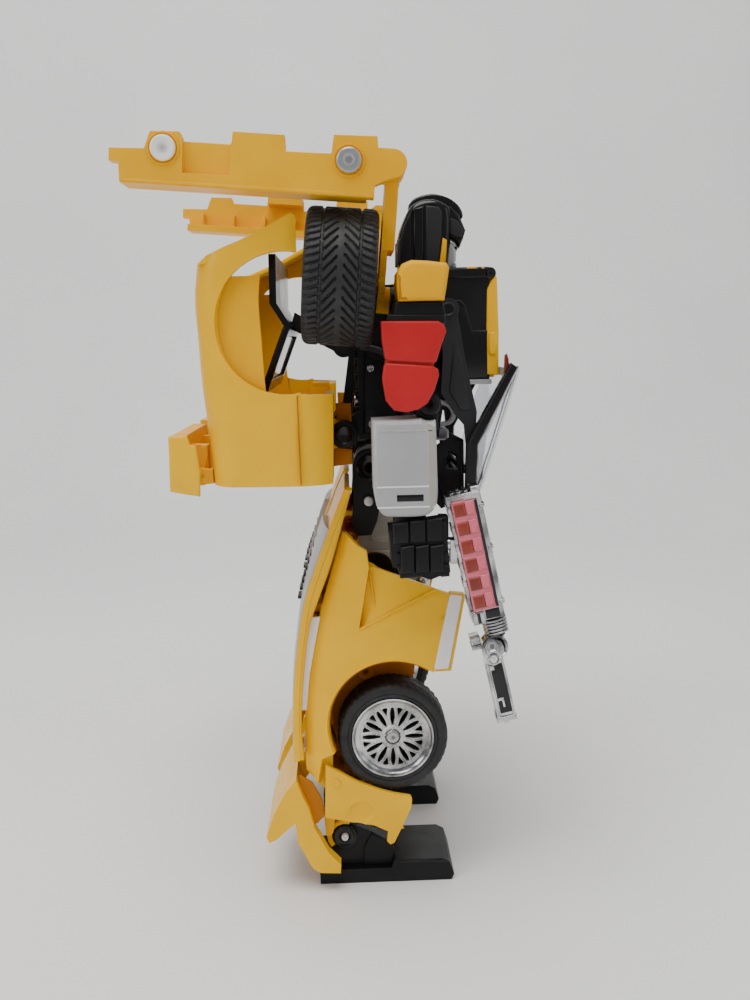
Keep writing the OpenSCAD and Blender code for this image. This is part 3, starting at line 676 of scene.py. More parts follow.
def wheel_rim(prefix, node, matrix, r, width, body):
    """Cast wheel: bright lip, wide band, twelve slots with small triangles between, hub with bolts."""
    k = r / 13.6
    face = width / 2 - 0.6
    lip = [(r - 1.5 * k, -face), (r, -face), (r, face), (r - 0.3 * k, face + 0.55),
        (r - 0.8 * k, face + 0.55), (r - 1.05 * k, face + 0.1), (r - 1.5 * k, face - 0.5),
        (r - 2.6 * k, face - 0.95), (r - 2.6 * k, face - 2.6), (r - 1.5 * k, face - 4)]
    lathe(prefix + "_lip", lip, matrix, body, CHROME, 96, [node])
    slot = [(4, 4), (6.2, 6.4), (8.2, 5), (9.7, 2.6), (9.9, 0), (9.7, -2.6), (8.2, -5), (6.2, -6.4), (4, -4)]
    triangle = [(7.3, 15), (9.8, 20.6), (10, 15), (9.8, 9.4)]
    windows = []
    for i in range(12):
        for window in (slot, triangle):
            windows.append([polar(spot_r * k, 30 * i + angle) for spot_r, angle in window])
    disc_edge = [polar(12 * k, 360 * i / 72) for i in range(72)]
    shape(prefix + "_spokes", [disc_edge], face - 2.7, face - 0.9, matrix, body, WHEEL_SILVER, 0.26 * k,
        windows)
    # raised ridges that fork beside the slots
    for i in range(12):
        middle = 30 * i + 15
        for n, way in enumerate((-1, 1)):
            ends = [polar(4.4 * k, middle + way * 4), polar(7.2 * k, middle + way * 4.2),
                polar(10.4 * k, middle + way * 9)]
            line = [tuple(matrix @ Vector((x, y, face - 0.95))) for x, y in ends]
            tube(f"{prefix}_ridge_{i}_{n}", line, 0.24 * k, body, CHROME, 8)
    lathe(prefix + "_hub", [(0.001, face - 2.2), (4.1 * k, face - 2.2), (4 * k, face - 0.8),
        (3.5 * k, face - 0.45), (3.1 * k, face - 0.5), (2.5 * k, face - 0.9), (2.2 * k, face - 0.9),
        (1.9 * k, face - 0.6), (0.001, face - 0.55)], matrix, body, WHEEL_SILVER, 48)
    disc(prefix + "_cap", 1.9 * k, face - 1.2, face - 0.05, matrix, body, STEEL, 0.3, 32)
    for i in range(5):
        x, y = polar(2.8 * k, 72 * i + 18)
        bolt = matrix @ Matrix.Translation((x, y, 0))
        disc(f"{prefix}_bolt_{i}", 0.4 * k, face - 0.9, face - 0.3, bolt, body, STEEL, 0.12, 12)
    lathe(prefix + "_barrel", [(0.001, -face + 1), (r - 1.6 * k, -face + 1), (r - 1.6 * k, face - 3.2),
        (r - 2 * k, face - 3.2), (9.6 * k, face - 5.2), (9.4 * k, face - 5), (5 * k, face - 5),
        (4.8 * k, face - 4.2), (0.001, face - 4.2)], matrix, body, BLACK, 48)


def wheels():
    for key, side in SIDES.items():
        low, high = node_box(f"leg_tyre_{key}")
        body = f"leg_wheel_{key}"
        r, width = (high.x - low.x) / 2, high.y - low.y
        centre = ((low.x + high.x) / 2 - DRAWING_X, abs(low.y + high.y) / 2, (low.z + high.z) / 2)
        matrix = outwards(*centre, side)
        rim_low, rim_high = node_box(f"leg_rim_{key}")
        rim_r = (rim_high.x - rim_low.x) / 2
        tyre(f"leg_tyre_{key}_tread", f"leg_tyre_{key}", matrix, r, rim_r, width, 44, 0.014, body)
        wheel_rim(f"leg_wheel_{key}", f"leg_rim_{key}", matrix, rim_r, width, body)

        low, high = node_box(f"rear_tyre_{key}")
        body = f"rear_wheel_{key}"
        r = (high.y - low.y) / 2
        centre = Vector(((low.x + high.x) / 2 - DRAWING_X, (low.y + high.y) / 2, (low.z + high.z) / 2))
        width = REAR_TYRE_W
        low, high = node_box(f"rear_rim_{key}")
        back = LEANING.to_3x3() @ Vector((-1, 0, 0))
        matrix = frame_at(centre, (0, 1, 0), back)
        tyre(f"rear_tyre_{key}_tread", f"rear_tyre_{key}", matrix, r, (high.y - low.y) / 2, width, 56,
            0.03, body)
        wheel_rim(f"rear_wheel_{key}", f"rear_rim_{key}", matrix, (high.y - low.y) / 2, width, body)


# ---------- Legs ----------

# Fender outline of the leg, without its lower end behind the bumper
ARCH = (20.5, 57.5)
ARCH_R = 21.5
FENDER_EDGE = [(-8.3, 44), (-8.2, 55), (-8.1, 66), (-6.6, 74), (-4.6, 83), (-2, 95.5), (1.2, 106),
    (3.9, 114.9), (5.6, 120.5)]


def fender_edge_x(z):
    """Where the fender's rounded back edge runs at a height."""
    for (x0, z0), (x1, z1) in zip(FENDER_EDGE, FENDER_EDGE[1:]):
        if z <= z1:
            return x0 + (x1 - x0) * (z - z0) / (z1 - z0)
    return FENDER_EDGE[-1][0]


def leg_fender(key):
    part = Half(key, "lower_leg")
    side = part.side
    face = part.reach("leg_shell")[1]
    step_top, step_low, crease_top = (13.6, 109.6), (10, 89.4), (34.6, 102)
    step_top_in, step_low_in = (14.1, 109.4), (10.4, 90.2)

    def lift(x, z):
        into = 0
        e = x - fender_edge_x(z)
        if e < 12:
            into = 4.6 * (1 - max(e, 0) / 12) ** 2.4
        above = turn(step_low, crease_top, (x, z)) > 0
        if z > 89.4 and above and turn(step_low_in, step_top_in, (x, z)) < 1.2:
            left = distance((x, z), step_top, step_low)
            right = distance((x, z), step_low, crease_top)
            into = 0.5 + 2.4 * min(1, right / max(left + right, 0.01) * 1.15)
        out = math.hypot(x - ARCH[0], z - ARCH[1]) - ARCH_R
        if z < 80 and out < 1.6:
            into -= 0.35 * (1 - out / 1.6)
        return x, side * (face - 0.36 - into), z

    top = [(12.9, 114.9), (10, 116.6), (7.6, 118.9)]
    outline = FENDER_EDGE + top[::-1] + [step_top, crease_top, (38.9, 100.3), (33.9, 76.4)]
    outline += arc(*ARCH, ARCH_R, 53, 205, 24) + [(-3.2, 46), (-4.6, 37.5)]
    panel(f"fender_{key}", outline, lift, 1.9, part.body, SHELL, lines=[[step_top, step_low, crease_top],
        [step_top_in, step_low_in, (34, 102.2)], arc(*ARCH, ARCH_R + 1.6, 60, 200, 20)],
        step=1.5, edge=0.3, replaces=[f"leg_shell_{key}"])
    # tail of the fender behind the bumper, well round the top of the wheel, ribs and posts inside
    part.plate("fender_tail", [(-8.5, 48), (-8.3, 41.5), (-5.4, 38), (-2.9, 34.8), (0, 35.4),
        (0.6, 46.5)], 39.6, 41.6, SHELL, 0.5)
    part.plate("fender_tab", [(-3.2, 27), (1, 26), (-0.2, 18.6), (-1.4, 17.2), (-2.6, 17.6)],
        39.6, 40.8, YELLOW, 0.4)
    part.plate("fender_tab_in", [(-7.4, 30), (-4.6, 31), (-4.2, 22), (-5.4, 20.4), (-6.8, 21)],
        36.4, 37.6, WARM_GREY, 0.4)
    # wheel well in the dark orange look: painted shade on the yellow plastic inside the arch
    well = arc(*ARCH, ARCH_R + 0.1, 56, 205, 28)

    def well_spot(i, j):
        x, z = well[round(i * 28)]
        return x, side * (face - 1.4 - j * 12.4), z

    sheet(f"wheel_well_{key}", 28, 6, well_spot, 0.9, part.body, ORANGE, 0.15)
    for n, (x, z) in enumerate([(8, 100), (5, 84)]):
        part.disc("fender_post", 2.5, face - 17, face - 1.4, x, z, ORANGE, 0.2, 24, n=n)
    for n, z in enumerate((70, 92)):
        part.box("fender_rib", -2.5 + (z - 70) * 0.2, 3, face - 9, face - 3.4, z, z + 1.2, ORANGE, 0.2,
            n=n)
    crease = [(x, face - 0.5, z) for x, z in (step_low, (22, 95.6), crease_top)]
    part.tube("fender_crease", smooth_line(crease, 4), 0.42, SHELL)
    part.tube("fender_fold", [(13.9, face - 2.6, 107.6), (15.6, face - 2.5, 93.2)], 0.4, YELLOW)
    # white strip in the gap between bonnet edge and fender: painted light for the bright backdrop seen through the
    # gap
    part.plate("gap_strip", [(-5.9, 93), (-2.2, 93), (-4.2, 84), (-6.2, 74), (-7.6, 62), (-9.4, 62),
        (-8.6, 76), (-6.6, 88)], 40.4, 42, WHITE, 0.2)
    # white lamp strip with its yellow rim
    rounded(f"side_trim_{key}", 0.5, 3)
    part.plate("lamp_rim", [(43, 100.2), (43.9, 99.7), (39.2, 75), (33.8, 74.9), (33.6, 75.7),
        (38.5, 75.9)], face - 4, face - 0.2, SHELL, 0.3)
    part.plate("lamp_cap", [(38.9, 100.6), (39, 99.6), (43.2, 99.2), (43.4, 100.1)],
        face - 4, face - 0.1, SHELL, 0.3)


def bonnet(key):
    """Half of the bonnet on the back of the leg, with its grey stripe and its vents."""
    part = Half(key, "lower_leg")
    side = part.side
    y_in, y_out = part.reach("hood_half")
    back = smooth_line([(6.6, 134.8), (3, 126), (-3.2, 109.9), (-7.3, 97.5), (-10.4, 79), (-11.8, 62),
        (-12, 46)], 5)
    count = len(back) - 1
    peak = 0.38  # where across its width the bonnet bulges most

    def line(i):
        k = i * count
        n = min(int(k), count - 1)
        f = k - n
        return [a + (b - a) * f for a, b in zip(back[n], back[n + 1])]

    def spot(i, j, proud=0):
        x, z = line(i)
        y = y_in + (y_out - y_in) * j
        away = (j - peak) / (1 - peak) if j > peak else (peak - j) / peak * 0.6
        swell = 0.7 * min(1, i / 0.12) * (1 - away ** 2)
        return x - swell - proud, side * y, z

    sheet(f"bonnet_{key}", 56, 28, spot, 2, part.body, SHELL, 0.3, [f"hood_half_{key}"], flip=side < 0)

    def stripe_spot(i, j):
        i = 0.21 + 0.76 * i
        j = 0.3 + 0.68 * j
        dome = 1 - max(0, (j - peak) / (1 - peak)) ** 2
        return spot(i, j, 0.12 + dome * (0.3 + 1.4 * math.exp(-((i - 0.21) / 0.2) ** 2)))

    sheet(f"bonnet_stripe_{key}", 50, 10, stripe_spot, 2, part.body, SILVER, 0.25, flip=side < 0)
    for n in range(9):
        i = 0.27 + n * 0.031
        x, y, z = spot(i, 0.42, 1.2)
        part.box("bonnet_vent", x - 0.4, x + 1.2, 19, 27, z - 0.4, z + 0.45, GREY, 0.2, n=n)
    inner_line = [(9, 134.6), (6.4, 126), (2, 111), (-3, 98), (-5.7, 90), (-7.5, 78), (-8.8, 66),
        (-9.3, 56), (-8.8, 46)]
    wall = [(x + 0.5, z) for x, z in back] + smooth_line(inner_line, 3)[::-1]
    part.plate("bonnet_edge", wall, y_out - 4.6, y_out - 0.4, SHELL, 1.1, steps=4)
    for n, z in enumerate((60, 78, 96, 114)):
        x = next(x for x, height in back if height <= z + 6)
        part.box("bonnet_rib", x + 1, x + 4.6, y_in + 4, y_out - 12, z, z + 1.1, YELLOW, 0.2, n=n)
    for n, z in enumerate((62, 80)):
        part.box("bonnet_arm", -11, (z - 58) / 8, 12, 27, z, z + 3, YELLOW, 0.4, n=n)


def shin(key):
    part = Half(key, "lower_leg")
    side = part.side
    rounded(f"shin_frame_{key}", 0.3)
    rounded(f"leg_pins_{key}", 0.25)
    knee_x, knee_z = part.pin("knee_bend")
    ankle_x, ankle_z = part.pin("ankle_tilt")
    # screw bosses and ribs of the inner frame, seen from the front and the back
    facing_in = Matrix.Rotation(math.pi, 4, "X") @ Matrix.Translation((0, 0, -15.6))
    for n, (x, z) in enumerate([(12, 90), (12, 70), (22, 84), (8, 48)]):
        inwards = outwards(x, 0, z, side) @ facing_in
        disc(f"shin_screw_{key}_{n}", 1.7, 7.4, 8.1, inwards, part.body, STEEL, 0.3, 20, dish=0.4)
        part.disc("shin_boss", 2.8, 28.6, 29.8, x, z, ORANGE, 0.3, 24, n=n, dish=0.3)
    for n, z in enumerate((52, 60, 68, 76, 84)):
        part.box("shin_front_rib", 27.6, 28.6, 10, 27, z, z + 0.9, ORANGE, 0.2, n=n)
    # black knee block and its round caps
    part.disc("knee_cap", 6.9, 28.9, 30.3, knee_x, knee_z, BLACK, 0.5, 40, dish=0.5)
    ball = [(2.1 * math.sin(math.radians(a)), 31.2 - 2.1 * math.cos(math.radians(a)))
        for a in range(4, 180, 8)]
    lathe(f"knee_ball_{key}", [(0.001, 29.1), *ball[1:-1], (0.001, 33.3)], outwards(31.6, 0, 101.4, side),
        part.body, STEEL, 24)
    part.disc("knee_dome", 2.6, 28.9, 31.6, 28, 101.6, LIGHT_GREY, 1.2, 32)
    part.plate("knee_arm", [(20, 101.4), (32.4, 99.4), (32.4, 102.6), (21, 106.6)],
        27.4, 29.4, BLACK, 0.4)
    ring = arc(ankle_x, ankle_z, 5.9, 70, 220, 20) + arc(ankle_x, ankle_z, 4.3, 220, 70, 20)
    part.plate("ankle_ring", ring, 36.9, 38.2, YELLOW, 0.4)


def bumper(key):
    """Folded corner of the front bumper, with the round recess of its fog lamp, and the nose below it."""
    part = Half(key, "front_bumper")
    side = part.side
    face = part.reach("bumper")[1]
    top = smooth_line([(-1.9, 44.2), (3, 41.4), (9, 38), (18, 34.6), (25.4, 32.9)], 5)
    outline = top + [(25.9, 31.8), (25.6, 29), (22.6, 22.2), (19.9, 16.4), (18.6, 15.8), (17.5, 17),
        (18, 20.6), (13.4, 23), (6, 24.4), (-2.6, 26.4)]
    lamp = (9.2, 27.6)

    def lift(x, z):
        into = 0
        d = math.hypot(x - lamp[0], z - lamp[1])
        if d < 4.2:
            into = 0.7 * min(1, (4.2 - d) / 0.7)
        if z < 24:
            into += 0.02 * (24 - z) ** 1.5
        swell = 0.9 * math.exp(-((z - 31) / 6) ** 2)
        return x, side * (face - 1 - into + swell * 0.8), z

    ring = arc(*lamp, 4.2, 35, 325, 26)
    panel(f"bumper_corner_{key}", outline, lift, 1.8, part.body, SHELL, lines=[ring],
        step=1.1, edge=0.35, replaces=[f"bumper_{key}"])
    pin_x, pin_z = part.pin("bumper_fold")
    part.disc("bumper_pin", 1.3, face - 1.6, face - 0.12, pin_x, pin_z, SHELL, 0.3, 24)
    part.plate("bumper_lip", [(-2.4, 27.4), (13.6, 24.2), (13.2, 23.2), (-2.6, 26.4)],
        face - 2.5, face - 1.4, SHELL, 0.3)
    rounded(f"nose_{key}", 0.7, 3)
    nose = Half(key, "front_nose")
    nose.plate("nose_inner", [(-10.6, 40.4), (-6.4, 37.4), (-3.4, 31.4), (-2.6, 25.8), (-6.6, 22.4),
        (-10.8, 26.6)], 41.8, 43, ORANGE, 0.3)
    for n, y in enumerate((14, 22, 30)):
        nose.plate("nose_rib", [(-12.2, 36), (-17.6, 26), (-18.4, 22), (-12.4, 27)],
            y, y + 1, YELLOW, 0.2, n=n)


def foot(key):
    """The foot: a smooth sole and toe, with a round black hub and a bright pin at the ankle."""
    part = Half(key, "ankle")
    rounded(f"foot_{key}", 0.7, 4)
    ankle_x, ankle_z = part.pin("ankle_tilt")
    part.disc("ankle_hub", 4.1, 36.6, 38.4, ankle_x, ankle_z, GLOSS, 0.6, 36, dish=0.4)
    part.disc("ankle_bolt", 1.2, 37.6, 39.4, ankle_x, ankle_z, WHITE, 0.5, 24)
    part.plate("ankle_strut", [(9.5, 4), (21.4, 4), (19.4, 12.8), (12.6, 16.4), (10, 12)],
        36.6, 37.8, BLACK, 0.8, steps=3)
    part.plate("toe_seam", [(21.6, 7.5), (37, 7.5), (38.4, 6.7), (38.2, 6.2), (21.6, 6.8)],
        39.4, 40.2, GLOSS, 0.25)


def upper_leg(key):
    part = Half(key, "upper_leg")
    rounded(f"thigh_{key}", 0.7, 3)
    rounded(f"hip_link_{key}", 0.5, 3)
    hip_x, hip_z = part.pin("hip_swing")
    face = part.reach("hip_link")[1] - 1.2
    part.disc("hip_cap", 4.4, face - 0.4, face + 0.7, hip_x - 1, hip_z - 1, GLOSS, 0.5, 32, dish=0.5)
    part.disc("thigh_pin", 1.7, face - 0.2, face + 1.3, 14.4, 128, STEEL, 0.35, 24)
    part.disc("thigh_disc", 3.3, face - 5, face - 1, 8.4, 119.4, RUST, 0.4, 32, dish=0.6)
    part.plate("thigh_line", [(23, 136), (25.6, 120.4), (23.6, 103), (22.6, 103.2), (24.2, 120.3),
        (22, 135.6)], 21.2, 22.6, WARM_GREY, 0.3)
    for n, z in enumerate((108, 113)):
        part.box("thigh_bar", 15, 23, 21.4, 22.5, z, z + 2, WARM_GREY, 0.4, n=n)


# ---------- Torso, chest and head ----------


def torso():
    rounded("torso_frame", 0.5, 3)
    rounded("waist", 0.6, 3)
    rounded("torso_screws", 0.2)
    body = "torso"
    for key in SIDES:
        part = Half(key, body)
        # cover plates, tubes and pivots on the sides of the tub
        part.plate("tub_cover", [(13.5, 150), (24, 150), (25, 158), (23, 172), (14, 176)],
            23.6, 25.2, BLACK, 0.5)
        part.plate("tub_rib", [(26, 150), (38, 150), (38.6, 158), (33, 171), (26.4, 171)],
            23.6, 24.8, GLOSS, 0.4, holes=[arc(32.6, 157.4, 2.6, 0, 345, 22)])
        part.disc("tub_hub", 2.2, 24.4, 26.4, 32.6, 157.4, GREY, 0.4, 28, dish=0.5)
        for n, (x, z) in enumerate([(16, 153), (16, 171), (36, 152)]):
            part.disc("tub_screw", 1.2, 24.8, 25.9, x, z, STEEL, 0.3, 20, n=n, dish=0.3)
        pipe = [(13, 25.6, 178), (20, 27.4, 176), (26, 27.6, 168), (27.4, 27, 156), (24, 25.4, 149)]
        part.tube("tub_pipe", smooth_line(pipe, 6), 1.1, GREY, 12)
        for n in range(6):
            part.box("back_fin", 10.9, 12.6, 13, 22.6, 151.4 + 5.2 * n, 153.4 + 5.2 * n, BLACK, 0.4, n=n)
        # upright black bars beside the rear quarters
        part.plate("back_rail", [(9, 148), (12.6, 148), (15.6, 187), (12.4, 188.4)],
            12.4, 17.8, GLOSS, 0.8)
        part.disc("back_knob", 3.6, 17, 27.4, 7.4, 146.4, BLACK, 0.7, 32, dish=0.6)
        part.plate("skirt_side", [(38.6, 128), (44.8, 130), (44.8, 147), (41, 148.6), (34.8, 145)],
            29.8, 30.9, BLACK, 0.4, holes=[[(38.9, 141.2), (40.8, 144.6), (43, 143), (43.6, 137.8),
            (39.7, 138.3)]])
        ring = smooth_line([(38.4, 159.6), (41.3, 158.5), (42.9, 155.6), (41.6, 153), (38.6, 152.4)], 5)
        part.tube("skirt_ring", [(x, 25.4, z) for x, z in ring], 0.8, LIGHT_GREY, 10)
    for n in range(5):
        box(f"belly_bar_{n}", 45, 46.2, -14, 14, 130 + 3.2 * n, 131.8 + 3.2 * n, 1, body, BLACK, 0.4)
    plate("belt_plate", [(33.6, 146.5), (41.8, 146.5), (41.8, 149.8), (37, 152), (33.6, 151)],
        -20, 20, 1, body, SILVER, 0.6)


def chest():
    body = "torso"
    rounded("chest_shell", 0.7, 3)
    face = 31
    for key in SIDES:
        part = Half(key, body)
        path = [(40.4, 191.7), (44.7, 191.6), (46.1, 189.9), (48.3, 182.1), (53.3, 182)]
        part.tube("chest_ridge", [(x, 31.1, z) for x, z in path], 0.32, GREY)
        part.plate("chest_relief", [(40.6, 167.2), (53.3, 167.2), (53.3, 181.9), (48.1, 182),
            (45.9, 189.8), (40.6, 191.4)], face - 0.4, face + 0.35, GLOSS, 0.3)
        part.plate("chest_top", [(40.6, 198.6), (53.6, 198.6), (53.6, 201.6), (40.6, 201.6)],
            face - 0.4, face + 0.6, GLOSS, 0.35)
        part.box("chest_bar", 40.4, 54.6, 17, 31.4, 165.3, 166.8, SILVER, 0.3)
        part.disc("chest_corner", 1.9, 22, 31.6, 54.3, 200, GLOSS, 0.5, 28)
        # two small yellow plates on the black top edge: painted glints
        part.plate("chest_glint", [(46.4, 200.6), (50.6, 200.8), (50.2, 202.1), (47, 202.1)],
            24, 31.3, SHELL, 0.25)
        part.plate("chest_chip", [(51.2, 200.2), (53.2, 200), (53, 201.4), (51.6, 202)],
            27, 31.5, SHELL, 0.2)
        part.plate("chest_band", [(55.6, 199.8), (53.2, 195), (52.9, 180.6), (52.9, 168.3), (56.9, 168),
            (57, 180.5), (56.5, 198.6)], 29.6, 31.3, SHELL, 0.6, steps=3)
        part.plate("chest_bulge", [(53.8, 181.4), (55.6, 181.8), (56.5, 178), (55.8, 174.4),
            (53.6, 174.8)], 30.6, 32, SHELL, 0.6, steps=3)
    # front panel: a bonnet-like curved sheet with a sunk middle
    panel_low, panel_high = node_box("chest_panel")
    x0, x1 = panel_low.x - DRAWING_X, panel_high.x - DRAWING_X

    def spot(i, j):
        y = (j - 0.5) * 60
        z = panel_low.z + (panel_high.z - panel_low.z) * i
        bow = math.sin(math.pi * i) * 0.5
        sunk = 0.9 if abs(y) < 13 and 0.26 < i < 0.86 else 0
        edge = (abs(j - 0.5) * 2) ** 6 * 0.6
        return x1 - 1 + bow - sunk - edge, y, z

    sheet("chest_front", 40, 60, spot, x1 - x0 - 1.2, body, SHELL, 0.4, ["chest_panel"])
    for n in range(4):
        box(f"chest_grille_{n}", x1 - 1.9, x1 - 0.9, -11, 11, 178 + 3.6 * n, 179.6 + 3.6 * n, 1, body,
            GLOSS, 0.3)
    for key, side in SIDES.items():
        part = Half(key, body)
        disc(f"chest_lamp_{key}", 3.4, x1 - 1.6, x1 - 0.1, forwards(0, side * 21.5, 177),
            body, SILVER, 0.5, 32, dish=0.7)
        part.box("chest_slat", x1 - 1.4, x1 - 0.3, 16.5, 27, 188.4, 190.6, GLOSS, 0.4)


def head():
    """A plain helmet with flat sides, a crest and a brow over a featureless mask."""
    body = "head"
    dome = smooth_line([(26.9, 203.6), (26.7, 212.5), (28.4, 218.6), (31, 223.6), (34.4, 225.7),
        (38.1, 226.2), (41.6, 225.2), (44.4, 222.6), (44.6, 214.5), (43.4, 203.6)], 4)
    plate("helmet", dome, -8.2, 8.2, 1, body, GLOSS, 2.2, replaces=["head_helmet"], steps=5)
    crest = [(30.8, 225), (33.2, 227.3), (38.7, 228.5), (44.1, 227.2), (47.7, 224.6), (49.2, 221.7),
        (48.7, 220.1), (46.4, 222), (43, 224.6), (38.5, 225.6), (33.4, 225), (31, 223)]
    plate("helmet_crest", smooth_line(crest + [crest[0]], 3)[:-1],
        -2.8, 2.8, 1, body, GLOSS, 0.8, steps=3)
    brow = [(41, 225), (44.6, 223.8), (47.6, 221), (49.7, 215.9), (48.9, 213.3), (47.6, 210.2),
        (46.1, 212.3), (43.8, 213.8), (42, 213.8)]
    plate("helmet_brow", brow, -6.2, 6.2, 1, body, GLOSS, 1, steps=3)
    disc("neck", 4.4, 197, 204.4, upwards(35, 0, 0), body, GREY, 0.6, 40)
    for key in SIDES:
        part = Half(key, body)
        facets = [
            [(27.3, 204.2), (31.2, 204.2), (31.4, 222.6), (28.7, 217.6), (27.3, 212.6)],
            [(31.7, 204.2), (35.2, 204.2), (35.5, 223.8), (31.9, 222.8)],
            [(35.7, 204.2), (40.2, 204.2), (41.2, 212.6), (41.6, 221.8), (40.4, 223.4), (36, 223.9)],
        ]
        for n, (outline, look) in enumerate(zip(facets, (BLACK, GLOSS, GREY))):
            part.plate("helmet_side", outline, 7.4, 9.2, look, 0.7, n=n, steps=3)
        part.plate("helmet_back", [(26.3, 205), (27.8, 205), (28, 213), (26.5, 213)], 4, 8.6, GREY, 0.5)
        part.plate("helmet_strip", [(40.3, 203.9), (42.4, 203.9), (43, 212.4), (41.6, 213.2)],
            8, 9.8, YELLOW, 0.4)
        part.plate("brow_side", [(43.4, 220.6), (47, 218.9), (48.7, 215.7), (48.2, 213.4), (46.2, 213.4),
            (43.6, 215)], 5.8, 7, GREY, 0.5)
    mask = [(41, 203.8), (45, 203.4), (46.4, 206), (46.6, 209.4), (45.6, 211.6), (43.2, 213), (41, 213)]
    plate("face_mask", mask, -5.2, 5.2, 1, body, SILVER, 0.9, replaces=["head_face"], steps=3)
    box("visor", 45.4, 46.9, -4.4, 4.4, 209.4, 210.8, 1, body, GLOSS, 0.4)
    box("chin_guard", 45, 46.9, -2.6, 2.6, 203.4, 205.4, 1, body, SILVER, 0.6)


# ---------- Windows ----------


def windscreen():
    body = "windshield"
    rounded("windshield_frame", 0.35, 3, GLOSS)
    rounded("windshield_glass", 0.15, 2)
    pin_x, _, pin_z = pivot("windshield_fold")
    for key in SIDES:
        part = Half(key, body)
        rounded(f"windshield_arm_{key}", 0.6, 3)
        # bright edges of the frame, and the small dark prongs at its top
        line = smooth_line([(48.7, 131), (49.4, 146.4), (62.3, 170.8)], 1)
        part.tube("frame_edge", [(x, 36.2, z) for x, z in line], 0.42, CHROME)
        line = [(46.2, 131.6), (46.6, 147), (60.2, 171.7)]
        part.tube("frame_line", [(x, 36.3, z) for x, z in line], 0.3, GREY)
        part.plate("frame_prong", [(57.9, 168.2), (59.7, 168.8), (59.6, 173), (59, 175), (58.2, 174.4)],
            33.9, 34.9, RUST, 0.35)
        part.disc("frame_pin", 1.7, 33.9, 36.9, 47, 133, BLACK, 0.4, 24, dish=0.3)
        part.disc("arm_cap", 2.2, 33.8, 34.8, pin_x, pin_z, GREY, 0.4, 28, dish=0.4)
        part.plate("arm_pad", [(42.4, 178), (44.2, 176.4), (46, 166.8), (47.6, 157.6), (44.2, 157.4),
            (40.6, 163.4)], 33.7, 34.4, GREY, 0.3)


def back_window():
    body = "rear_window"
    rounded("window_frame", 0.6, 3, GLOSS)
    rounded("window_glass", 0.15, 2)
    for key in SIDES:
        part = Half(key, body)
        part.plate("window_band", [(-17.8, 168), (-11.4, 184.4), (-10.4, 184.2), (-16.4, 168)],
            31, 34.4, GREY, 0.3)


# ---------- Arms and gun ----------


